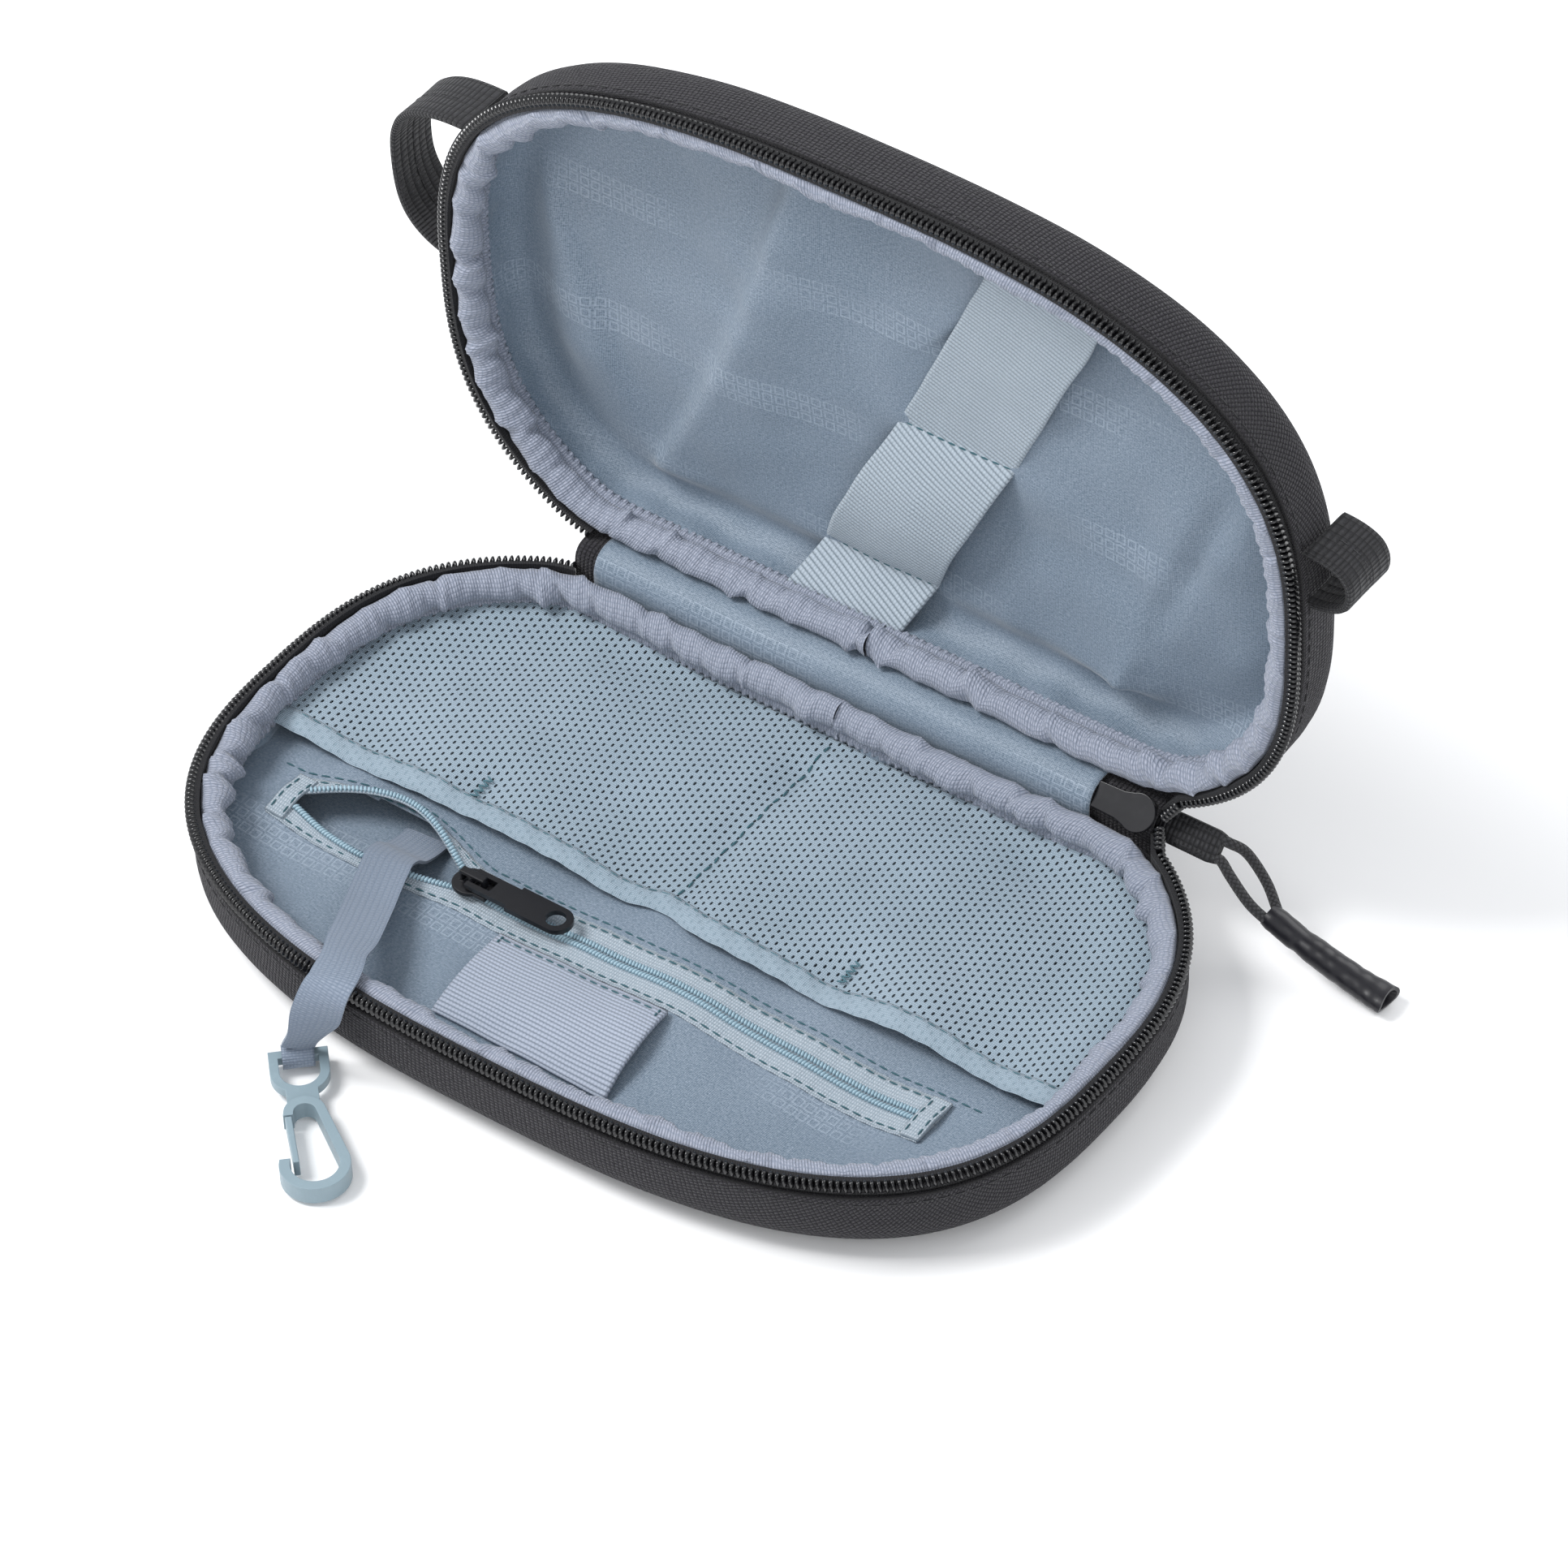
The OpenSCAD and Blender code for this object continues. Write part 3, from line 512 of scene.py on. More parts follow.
def beadMesh(name, across, down):
    # one rounded bead, made once and repeated
    bm = blank()
    bmesh.ops.create_uvsphere(bm, u_segments=across, v_segments=down, radius=1.0)
    layer = bm.loops.layers.uv.active
    for face in bm.faces:
        for loop in face.loops:
            loop[layer].uv = (loop.vert.co.x * 1.2, loop.vert.co.z * 0.4)
    mesh = bpy.data.meshes.new(name)
    bm.to_mesh(mesh)
    bm.free()
    return mesh


def repeatBead(bm, bead, places):
    for place in places:
        part = bead.copy()
        part.transform(place)
        bm.from_mesh(part)
        bpy.data.meshes.remove(part)


threadBead, turnBead, fineBead = beadMesh("threadBead", 6, 4), beadMesh("turnBead", 8,
                                                                        6), beadMesh("fineBead", 6, 5)


def stitches(bm, points, length=2.3, gap=0.8, thick=0.5, lift=0.0):
    # short raised threads laid along a line of points
    path = np.array([tuple(p) for p in points])
    runs = np.concatenate([[0], np.cumsum(np.linalg.norm(np.diff(path, axis=0), axis=1))])
    starts = np.arange(gap, runs[-1] - length, length + gap)
    ends = [np.stack([np.interp(starts + more, runs, path[:, k]) for k in range(3)],
                     axis=1) for more in (0, length)]
    places = []
    for a, b in zip(*ends):
        a, b = Vector(a), Vector(b)
        turned = (b - a).to_track_quat("X", "Z").to_matrix().to_4x4()
        places.append(Matrix.Translation((a + b) / 2 + Vector((0, 0, lift))) @ turned
                      @ Matrix.Diagonal((length * 0.56, thick * 0.55, thick * 0.5, 1)))
    repeatBead(bm, threadBead, places)


# ---- pull cord: one cord folded in two, from the tab to the grip and back ----
pullCord = {"diameter": 2.2, "sides": 10,
            "out": [(76, 61.6, 18.6), (80, 61.3, 18.2), (84, 61.1, 17.8), (86, 61.1, 17.6),
                    (89, 60.1, 15.6),
                    (94, 59.4, 11.4), (99, 60, 8), (102, 59.9, 7.1), (106, 59.7, 5.9), (110, 59.5, 4.9)],
            "back": [(110, 61.9, 4.9), (106, 62.1, 5.9), (102, 62.4, 7), (99, 62.6, 8.2), (94, 65.4, 12.4),
                     (89, 65.8, 17.6), (86, 64, 20.2), (84, 63.8, 20.4), (80, 63.4, 20.0),
                     (76, 63.0, 19.6)]}


def smoothLine(points, steps):
    # a curve through the points, with even steps
    p = [Vector(q) for q in points]
    fine = []
    for i in range(len(p) - 1):
        a, b, c, d = p[max(i - 1, 0)], p[i], p[i + 1], p[min(i + 2, len(p) - 1)]
        for k in range(12):
            t = k / 12
            fine.append(0.5 * ((2 * b) + (c - a) * t + (2 * a - 5 * b + 4 * c - d) * t * t
                               + (3 * b - a - 3 * c + d) * t ** 3))
    fine.append(p[-1])
    runs = np.concatenate([[0], np.cumsum([(b - a).length for a, b in zip(fine, fine[1:])])])
    wanted = np.linspace(0, runs[-1], steps + 1)
    line = [Vector([float(np.interp(w, runs, [q[k] for q in fine])) for k in range(3)]) for w in wanted]
    return line, float(runs[-1])


def frames(line):
    # a direction and two cross directions at each point, carried along without twist
    result, side = [], None
    for i, point in enumerate(line):
        along = (line[min(i + 1, len(line) - 1)] - line[max(i - 1, 0)]).normalized()
        if side is None:
            side = along.cross(Vector((0, 0, 1))).normalized()
        side = (side - along * side.dot(along)).normalized()
        result.append((point, along, side, along.cross(side).normalized()))
    return result


def tubeAlong(bm, line, length, sides, reachAt):
    # a tube of changing section with closed ends; reachAt gives the two half widths at a share of the length
    made = frames(line)
    count = len(line) - 1

    def place(u, v):
        point, _, side, up = made[round(u * count)]
        wide, tall = reachAt(u, v)
        angle = v * 2 * math.pi
        return point + side * wide * math.cos(angle) + up * tall * math.sin(angle)

    girth = 2 * math.pi * reachAt(0.5, 0)[0]
    sheetGrid(bm, count, sides, place, lambda u, v: (u * length, v * girth))
    joinSeam(bm)
    closeEnds(bm)


def makePullCord(facts):
    line, length = smoothLine(facts["out"] + facts["back"], 90)
    half = facts["diameter"] / 2
    bm = blank()
    tubeAlong(bm, line, length, facts["sides"], lambda u, v: (half, half))
    cord = finishPiece("pullCordBraid", bm, "cord", "main_pull", ("pull_cord",))
    return cord, line, length


def makeGrip():
    # shrink tube over the cord's end, pressed flat where it was cut
    route = [(97, 61.3, 8.9), (100, 61.2, 7.9), (104, 61, 6.6), (112, 60.6, 4.6), (120, 60.2, 3.1),
             (126, 60, 2.5)]
    line, length = smoothLine(route, 60)
    bm = blank()

    def reach(u, v):
        wide = float(np.interp(u, (0, 0.05, 0.25, 0.55, 0.8, 0.95, 1),
                               (2.35, 2.65, 2.8, 3.2, 3.5, 3.9, 4.0)))
        tall = float(np.interp(u, (0, 0.05, 0.25, 0.55, 0.8, 0.95, 1),
                               (2.2, 2.45, 2.7, 2.8, 2.5, 2.15, 2.1)))
        dent = 1 + 0.05 * drift(u * 46, math.cos(v * 2 * math.pi) * 3, 4, 0.35) - 0.07 * hump(u - 0.3, 0.05)
        fold = 1 + 0.06 * math.cos(v * 4 * math.pi + u * 3)
        return wide * dent * fold, tall * dent * fold

    made = frames(line)

    def place(u, v, inner=0.0):
        point, along, side, up = made[min(60, round(u * 60))]
        wide, tall = reach(u, v)
        angle = v * 2 * math.pi
        return (point + side * (wide - inner) * math.cos(angle) + up * (tall - inner) * math.sin(angle)
                + along * 0.35 * math.cos(angle * 2 + 0.8) * (u > 0.99))

    sheetGrid(bm, 60, 24, place, lambda u, v: (u * length, v * 18))
    joinSeam(bm)
    end = [edge for edge in bm.edges if edge.is_boundary and (edge.verts[0].co - line[-1]).length < 6]
    middle = line[-1]
    for depth, narrow in ((0.0, 0.75), (2.5, 0.7)):
        grown = bmesh.ops.extrude_edge_only(bm, edges=end)["geom"]
        end = [item for item in grown if isinstance(item, bmesh.types.BMEdge)]
        for vert in {vert for edge in end for vert in edge.verts}:
            vert.co = middle + (vert.co - middle) * narrow - made[-1][1] * depth
    closeEnds(bm)
    return finishPiece("pullGripTube", bm, "grip", "main_pull", ("pull_grip",), smooth=50)


cordPiece, cordLine, cordLength = makePullCord(pullCord)
gripPiece = makeGrip()
print("pull cord made", round(cordLength, 1))


# ---- outer cloth ----
halves = ((False, "base"), (True, "lid"))


def ringPlace(share, inset, scale=1.0):
    x, y = outlinePoint(inset, turnAt(share))
    return x * scale, y * scale


def trayRings(corner, inset, floorZ, top, floorRings=22, wallRings=6):
    # from the middle of the floor, up the rounded edge, to the top of the wall: (scale, inset, height, run)
    rings = [(k / floorRings, corner, floorZ, -(1 - k / floorRings)) for k in range(floorRings + 1)]
    radius = corner - inset
    for k in range(1, 7):
        angle = k / 6 * math.pi / 2
        rings.append((1, inset + radius * (1 - math.sin(angle)), floorZ + radius * (1 - math.cos(angle)),
                      angle * radius))
    start = floorZ + radius
    for k in range(1, wallRings + 1):
        rings.append((1, inset, mixed(start, top, k / wallRings),
                      radius * math.pi / 2 + (top - start) * k / wallRings))
    return rings


def trayPiece(name, lid, look, body, replaces, rings, moved, thick, offset, around=200):
    bm = blank()
    last = len(rings) - 1

    def place(u, v):
        scale, inset, z, run = rings[round(v * last)]
        x, y = ringPlace(u, inset, scale)
        return Vector(moved(x, y, z, u, scale, run))

    def spread(u, v):
        scale, _, _, run = rings[round(v * last)]
        x, y = ringPlace(u, rings[0][1], scale)
        if run > 0:
            out = rimPlace(u, 0)[2]
            x, y = x + out.x * run, y + out.y * run
        return x, y

    sheetGrid(bm, around, last, place, spread)
    return finishPiece(name, bm, look, body, replaces, lid=lid, closed=False, thick=thick,
                       offset=offset)


def shellMoved(seed):
    def moved(x, y, z, share, scale, run):
        # slight hollows in the panel, and a seam line round its edge
        if scale < 1:
            fade = eased((1 - scale) / 0.25)
            return x, y, max(0.0, 0.25 * fade + 0.5 * fade * drift(x, y, seed, 0.03))
        out = rimPlace(share, 0)[2]
        seam = -0.55 * hump(run - 2.2, 0.8)
        wave = 0.25 * drift(share * rimLength, z * 2, seed + 2, 0.05) * eased(run / 12)
        return x + out.x * (seam + wave), y + out.y * (seam + wave), z
    return moved


shellRings = trayRings(pouch["corner"], 0, 0.0, pouch["wallTop"], 12, 8)
shellRings += [(1, 0.35, pouch["wallTop"] + 0.3, 30), (1, 0.95, pouch["wallTop"] + 0.1, 31),
               (1, 1.1, pouch["wallTop"] - 0.8, 32)]
for lid, body in halves:
    trayPiece(f"{body}OuterCloth", lid, "outer", body, (f"{body}_shell",), shellRings,
              shellMoved(3 + 5 * lid), None, 0, 240)
print("outer cloth made")

# ---- lining of both halves ----
liningFacts = {"wall": 4.2, "crease": 4.2, "folds": 1.8}


def steep(distance):
    return hump(distance, 2.6 if distance > 0 else 10)


def foldHeight(x, y, lid):
    # soft folds in the floor cloth; the lid's long crease runs beside the slanted band
    if lid:
        start, end = Vector((-24, -45)), Vector((-63, 48))
        along = (end - start).normalized()
        side = along.x * (y - start.y) - along.y * (x - start.x) + 3.5 * math.sin((y + 45) * 0.034)
        crease = liningFacts["crease"] * (hump(side, 2.4) if side > 0 else hump(side, 15))
        second = 2.6 * steep(x - 64 + (y - 10) * 0.35) * eased((y + 30) / 40)
        third = 2.5 * steep(x + 80 - y * 0.3) * eased((38 - abs(y)) / 20)
        third += 2.1 * steep(x + 2 + (y + 12) * 0.9) * eased((-12 - y) / 22) + 1.9 * steep(76 - x - y * 0.5)
        return crease + second + third + liningFacts["folds"] * (0.6 + drift(x, y, 11, 0.035) + 0.4 * drift(x, y, 12, 0.09))
    return liningFacts["folds"] * (0.4 + drift(x, y, 21, 0.04) + 0.4 * drift(x, y, 22, 0.1))


def liningMoved(lid):
    def moved(x, y, z, share, scale, run):
        if scale < 1:
            fade = eased((1 - scale) / 0.12)
            return x, y, z + fade * max(0.0, foldHeight(x, y, lid))
        out = rimPlace(share, 0)[2]
        around = share * rimLength
        rise = eased(run / 4) * eased((14.5 - z) / 2)
        pleat = 0.55 * math.sin(around * 0.42 + 2.4 * drift(around, 0, 31 + lid, 0.06)) * eased(run / 8)
        inward = max(0.0, 0.5 + pleat + 0.8 * drift(around, z * 2.5, 33 + lid, 0.05)) * rise
        return x - out.x * inward, y - out.y * inward, z
    return moved


def padMoved(x, y, z, *_):
    return x, y, z + 0.15 * drift(x, y, 41, 0.05)


paddingRings = trayRings(pouch["corner"], 2.2, 2.3, 13.8, 12, 6)
for lid, body in halves:
    pad = trayPiece(f"{body}Padding", lid, "foam", body, (f"{body}_padding",), paddingRings,
                    padMoved, 1.1, 0.0, 160)

linerRings = trayRings(pouch["corner"], liningFacts["wall"], pouch["floor"], 14.6, 44, 7)
for lid, body in halves:
    cloth = trayPiece(f"{body}LiningCloth", lid, "lining", body, (f"{body}_lining",), linerRings,
                      liningMoved(lid), 0.4, 1.0, 260)
print("linings made")


# ---- rolled binding round both rims ----
bindingFacts = {"steps": 900, "puckers": 1.25}
# (inset, height, how much the puckers move it, pleats of the turned-in edge)
bindingSection = [(1.95, 14.6, 0, 0), (1.95, 17.4, 0.1, 0), (1.98, 19.2, 0.4, 0), (2.5, 20.3, 0.8, 0),
                  (3.5, 20.8, 1, 0),
                  (4.7, 20.6, 1, 0), (5.8, 19.8, 1, 0), (6.6, 18.6, 1, 0), (6.9, 17.3, 1, 0),
                  (6.7, 16.1, 0.8, 0),
                  (6.0, 15.2, 0.4, 0), (5.2, 14.7, 0.05, 0), (5.3, 14.3, 0, 0.5), (5.7, 13.4, 0, 1),
                  (5.6, 12.2, 0, 1.2),
                  (4.75, 12.2, 0, 0.5), (4.3, 14.4, 0, 0)]


def makeBinding(lid, body):
    bm = blank()
    count = len(bindingSection)
    seed = 50 + 10 * lid
    runs = [0.0]
    for a, b in zip(bindingSection, bindingSection[1:] + bindingSection[:1]):
        runs.append(runs[-1] + math.dist(a[:2], b[:2]))

    def place(u, v):
        inset, z, soft, edge = bindingSection[round(v * count) % count]
        around = u * rimLength
        band = (v * count) * 0.9
        # long slow swells, short slanting puckers, and tight creases where it is sewn
        swell = drift(around, 0, seed, 0.045)
        slant = around * 0.62 + band * 0.55 + 3.2 * drift(around, 0, seed + 1, 0.07)
        pucker = 1 - 2 * abs(math.sin(slant * 0.5)) ** 0.7
        pucker *= 0.4 + 0.9 * abs(drift(around, 3, seed + 2, 0.06)) * 2.2
        crease = -0.9 * max(0.0, math.sin(around * 0.27 + 4 * drift(around, 0, seed + 3, 0.05))) ** 16
        fine = 0.22 * math.sin(around * 2.1 - band * 0.9 + 2 * drift(around, 1, seed + 5, 0.1))
        push = bindingFacts["puckers"] * soft * (-0.6 * pucker + 1.1 * swell - crease + 0.5 * fine)
        lift = 0.75 * soft * (0.5 * pucker + 0.8 * drift(around, 9, seed + 4, 0.05) + crease + 0.5 * fine)
        joint = hump(min(u, 1 - u) * rimLength, 1.6)
        inset = inset + push * (0.3 if inset < 3.4 else 1) + edge * 0.28 * math.sin(around * 3.1 + z)
        z = min(21.1, z + lift + 0.35 * joint * soft)
        x, y = outlinePoint(inset, turnAt(u))
        return Vector((x, y, z))

    sheetGrid(bm, bindingFacts["steps"], count, place,
              lambda u, v: (u * rimLength, runs[min(count, round(v * count))]))
    return finishPiece(f"{body}RolledBinding", bm, "binding", body, (f"{body}_binding",),
                       lid=lid, smooth=80)


for lid, body in halves:
    makeBinding(lid, body)
    bm = blank()
    line = []
    for k in range(700):
        x, y = outlinePoint(4.98, turnAt(k / 700))
        line.append((x, y, 14.85))
    stitches(bm, line, 2.4, 0.9, 0.42)
    finishPiece(f"{body}BindingStitch", bm, "thread", body, lid=lid)
print("bindings made")

# ---- main zip: tape, coil turns and sewing on both halves ----
zipFacts = {"pitch": 1.3, "wide": 2.6, "tall": 2.9, "thick": 1.16, "height": 19.8, "inset": 0.3,
            "sliderEnd": (73.2, 58.5, 20.8), "lastTurns": 5}
turnSize = Matrix.Diagonal((zipFacts["wide"] / 2, zipFacts["thick"] / 2, zipFacts["tall"] / 2, 1))


def makeTape(lid, body):
    bm = blank()
    section = [(1.15, 12.3), (1.12, 16.5), (0.95, 17.6), (0.6, 18.5), (0.9, 20.6), (1.85, 20.7),
               (1.85, 16.0), (1.85, 12.3)]
    count = len(section)

    def place(u, v):
        inset, z = section[round(v * count) % count]
        x, y = outlinePoint(inset, turnAt(mixed(zipFrom, zipTo, min(1, u / 0.98))))
        leaving = max(0.0, (u - 0.98) / 0.02)
        endX, endY, _ = zipFacts["sliderEnd"]
        z = mixed(z, max(z, 17.5), leaving)
        return Vector((mixed(x, endX - inset * 0.7, leaving), mixed(y, endY - inset * 0.7, leaving), z))

    sheetGrid(bm, 260, count, place, lambda u, v: (u * rimLength * (zipTo - zipFrom), v * 18))
    joinSeam(bm)
    closeEnds(bm)
    finishPiece(f"{body}ZipTape", bm, "blackTape", body, (f"{body}_zip_tape",), lid=lid)


def makeTeeth(lid, body):
    # one rounded turn of the coil after another, each leaning a little
    bm = blank()
    places = []
    length = rimLength * (zipTo - zipFrom)
    count = round(length / zipFacts["pitch"])
    for k in range(count):
        share = mixed(zipFrom, zipTo, (k + 0.5) / count)
        x, y, out = rimPlace(share, zipFacts["inset"])
        facing = math.atan2(out.y, out.x)
        places.append(Matrix.Translation((x, y, zipFacts["height"])) @ Matrix.Rotation(facing, 4, "Z")
                      @ Matrix.Rotation(math.radians(14), 4, "X")
                      @ turnSize)
    # the last turns leave the rim and run into the slider
    x, y, _ = rimPlace(zipTo, zipFacts["inset"])
    endX, endY, endZ = zipFacts["sliderEnd"]
    for k in range(zipFacts["lastTurns"]):
        part = (k + 1) / zipFacts["lastTurns"]
        place = Matrix.Translation((mixed(x, endX, part), mixed(y, endY, part),
                                    mixed(zipFacts["height"], endZ, part)))
        places.append(place @ Matrix.Rotation(math.atan2(x - endX, endY - y), 4, "Z")
                      @ turnSize)
    repeatBead(bm, turnBead, places)
    return finishPiece(f"{body}CoilTurns", bm, "coil", body, (f"{body}_zip_coil",), lid=lid)


def rimLine(inset, height, first, last, steps=600):
    line = []
    for k in range(steps + 1):
        x, y = outlinePoint(inset, turnAt(mixed(first, last, k / steps)))
        line.append((x, y, height))
    return line


for lid, body in halves:
    makeTape(lid, body)
    makeTeeth(lid, body)
    bm = blank()
    stitches(bm, rimLine(0.98, 17.35, zipFrom, zipTo), 2.2, 0.9, 0.42)
    stitches(bm, rimLine(-0.05, 14.9, 0.0, 1.0, 800), 2.4, 0.9, 0.42)
    finishPiece(f"{body}ZipStitch", bm, "blackThread", body, lid=lid)
print("main zip made")

# ---- hinge ----
hingeFacts = {"left": -64.5, "right": 58.0}


def makeHinge(name, look, left, right, section, thick, replaces, wave=0.0):
    bm = blank()
    line, length = smoothLine([(0, y, z) for y, z in section], 26)

    def place(u, v):
        point = line[round(v * 26)]
        x = mixed(left, right, u)
        puff = wave * drift(x, v * 14, 71, 0.09) * math.sin(v * math.pi)
        return Vector((x, point.y - puff, point.z + puff))

    sheetGrid(bm, 90, 26, place, lambda u, v: (mixed(left, right, u), v * length + 3.6))
    piece = finishPiece(name, bm, look, None, replaces, closed=False, thick=thick)
    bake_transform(piece)


axisY, axisZ = pouch["axisY"], pouch["axisZ"]
makeHinge("hingeOuterCloth", "outer", -70.5, 72,
          [(57.75, 12.6), (57.75, 16), (57.75, 19.5), (58.0, 21.6),
          (58.7, 22.9), (60.0, 23.65), (62.1, 23.85), (65.6, 23.85), (69.0, 23.85)], 0.7,
          ("base_hinge_fabric", "lid_hinge_fabric", "zip_end_left", "zip_end_right"))
makeHinge("hingeLiningCloth", "lining", hingeFacts["left"], hingeFacts["right"],
          [(56.2, 15.2), (56.15, 17.5),
          (56.1, 19.8), (56.35, 22.0), (57.6, 24.2), (59.6, 25.3), (61.8, 25.5), (64.0, 25.45),
          (66.4, 25.4)], 0.4,
          ("base_hinge_lining", "lid_hinge_lining"), 0.5)
print("hinge made")

# ---- zip pocket ----
pocket = {"zipY": -22.0, "left": -84.0, "right": 76.0, "mouthEnd": -36.0, "rearBow": 9.5, "frontBow": 4.5,
          "height": 9.6, "half": 5.5}


def bow(x, rise):
    if not pocket["left"] < x < pocket["mouthEnd"]:
        return 0.0
    return rise * math.sin(math.pi * (x - pocket["left"]) / (pocket["mouthEnd"] - pocket["left"])) ** 1.2


def panelHeight(x, y):
    # the pocket panel sags and lifts between its seams
    calm = 1 - hump(x + 36, 9) * hump(y + 22, 8)
    wave = 1.3 * math.sin(x * 0.067 + 0.8) * hump(y + 22, 26) + 1.1 * drift(x, y, 81, 0.045) + 0.35 * drift(x, y, 82, 0.11)
    slope = -1.3 * hump(x - 52, 20) * hump(y + 30, 16) - 0.9 * hump(x + 72, 14) * hump(y + 36, 12)
    return pocket["height"] - 0.35 + calm * (wave + slope) * 0.95


def makePanel():
    # cut away behind the open mouth and under the zip's tapes
    bm = blank()
    layer = bm.loops.layers.uv.active
    bmesh.ops.create_grid(bm, x_segments=220, y_segments=130, size=0.5)
    for vert in bm.verts:
        vert.co = Vector((vert.co.x * 200, vert.co.y * 126, 0))
    # drop the grid's points that lie inside the mouth
    inside = []
    for vert in bm.verts:
        x, y = vert.co.x, vert.co.y
        rear = pocket["zipY"] + 4.6 + bow(x, pocket["rearBow"] - 4)
        front = pocket["zipY"] - 4.6 - bow(x, pocket["frontBow"] - 3)
        if front < y < rear and pocket["left"] + 1 < x < pocket["right"] - 1:
            inside.append(vert)
    bmesh.ops.delete(bm, geom=inside, context="VERTS")
    gone = []
    for vert in bm.verts:
        x, y = vert.co.x, vert.co.y
        limit = 1.0 / max(1e-6, ((abs(x) / 98.2) ** 2.75 + (abs(y) / 62.6) ** 2.75) ** (1 / 2.75))
        if limit < 1 or y > 52.6:
            vert.co.x, vert.co.y = x * min(1, limit), min(52.6, y * min(1, limit))
        if limit < 0.93 or y > 55:
            gone.append(vert)
    bmesh.ops.delete(bm, geom=gone, context="VERTS")
    for face in bm.faces:
        for loop in face.loops:
            loop[layer].uv = (loop.vert.co.x, loop.vert.co.y + 40)
    for vert in bm.verts:
        vert.co.z = panelHeight(vert.co.x, vert.co.y)
    panel = finishPiece("pocketPanelCloth", bm, "lining", "base", ("pocket_panel",), closed=False,
                        thick=0.35)


def makePocketTape(name, sgn, coilBow, edgeBow, replaces):
    bm = blank()
    rows = [0.12, 1.0, 2.4, 3.6, 4.8, 5.9]
    count = len(rows) - 1

    def place(u, v):
        x = mixed(pocket["left"], pocket["right"], u)
        reach = rows[round(v * count)]
        part = (reach - 0.12) / 5.8
        y = pocket["zipY"] + sgn * (reach + mixed(bow(x, coilBow), bow(x, edgeBow), part))
        # at the open mouth the coil edge stands up and rolls back
        gape = bow(x, 1.0)
        z = panelHeight(x, y) + 0.35 + gape * (1 - part) * (2.6 if sgn > 0 else 0.9)
        return Vector((x, y, z + 0.12 * math.sin(x * 1.7) * part))

    sheetGrid(bm, 220, count, place, lambda u, v: (u * 160, rows[round(v * count)]))
    finishPiece(name, bm, "pocketTape", "base", replaces, closed=False, thick=0.45)


def makePocketCoil(name, sgn, coilBow, replaces):
    # fine turns, two to each millimetre and a half
    bm = blank()
    places = []
    first, last = pocket["left"] + 4.3, pocket["right"] - 4.3
    count = 200
    for k in range(count):
        x = mixed(first, last, (k + 0.5) / count)
        ahead = pocket["zipY"] + sgn * (0.85 + bow(x + 0.5, coilBow))
        y = pocket["zipY"] + sgn * (0.85 + bow(x, coilBow))
        gape = bow(x, 1.0)
        z = panelHeight(x, y) + 0.85 + gape * (2.4 if sgn > 0 else 0.8)
        facing = math.atan2(ahead - y, 0.5)
        places.append(Matrix.Translation((x, y, z)) @ Matrix.Rotation(facing + sgn * 0.25, 4, "Z")
                      @ Matrix.Diagonal((0.36, 0.86, 0.5, 1)))
    repeatBead(bm, fineBead, places)
    finishPiece(name, bm, "pocketCoil", "base", replaces)


def makePocketEnd(name, middle, node):
    bm = blank()

    def place(u, v):
        x, y = middle + (u - 0.5) * 4.4, pocket["zipY"] + (v - 0.5) * 11.6
        return Vector((x, y, panelHeight(x, y) + 0.85 + 0.7 * hump(y - pocket["zipY"], 3.2)))

    sheetGrid(bm, 8, 20, place, lambda u, v: (u * 4.4, v * 11))
    finishPiece(name, bm, "pocketTape", "base", (node,), closed=False, thick=0.5)


makePanel()
makePocketTape("pocketTapeRear", 1, pocket["rearBow"], pocket["rearBow"] - 4, ("pocket_tape_rear",))
makePocketTape("pocketTapeFront", -1, pocket["frontBow"], pocket["frontBow"] - 3, ("pocket_tape_front",))
makePocketCoil("pocketCoilRear", 1, pocket["rearBow"], ("pocket_coil_rear",))
makePocketCoil("pocketCoilFront", -1, pocket["frontBow"], ("pocket_coil_front",))
makePocketEnd("pocketEndLeft", pocket["left"] + 2, "pocket_end_left")
makePocketEnd("pocketEndRight", pocket["right"] - 2, "pocket_end_right")
bm = blank()
for sgn, bowed in ((1, pocket["rearBow"] - 4), (-1, pocket["frontBow"] - 3)):
    for reach, first, last in ((5.0, pocket["left"] + 1, pocket["right"] - 1),
                               (7.4, pocket["left"] - 6, pocket["right"] + 8)):
        if reach > 6 and sgn < 0:
            continue
        line = []
        for k in range(201):
            x = mixed(first, last, k / 200)
            y = pocket["zipY"] + sgn * (reach + bow(x, bowed))
            line.append((x, y, panelHeight(x, y) + (0.75 if reach < 6 else 0.3)))
        stitches(bm, line, 2.0, 0.8, 0.4)
for x in (pocket["left"] + 0.6, pocket["left"] + 3.6, pocket["right"] - 3.6, pocket["right"] - 0.6):
    line = []
    for k in range(13):
        y = pocket["zipY"] - 5.4 + 10.8 * k / 12
        line.append((x, y, panelHeight(x, y) + 1.2 + 0.7 * hump(y - pocket["zipY"], 3.2)))
    stitches(bm, line, 1.8, 0.7, 0.4)
finishPiece("pocketStitch", bm, "thread", "base")
print("zip pocket made")

# ---- mesh pocket ----
meshFacts = {"hem": -8.0, "rear": 51.6, "divider": -0.7, "tacks": (-50.6, 40.0)}


def hemLine(x):
    return meshFacts["hem"] - 0.9 * math.sin(x * 0.05 + 1.0) + 2.6 * hump(x - meshFacts["divider"],
                                                                          7) - 1.2 * eased(x / 90)


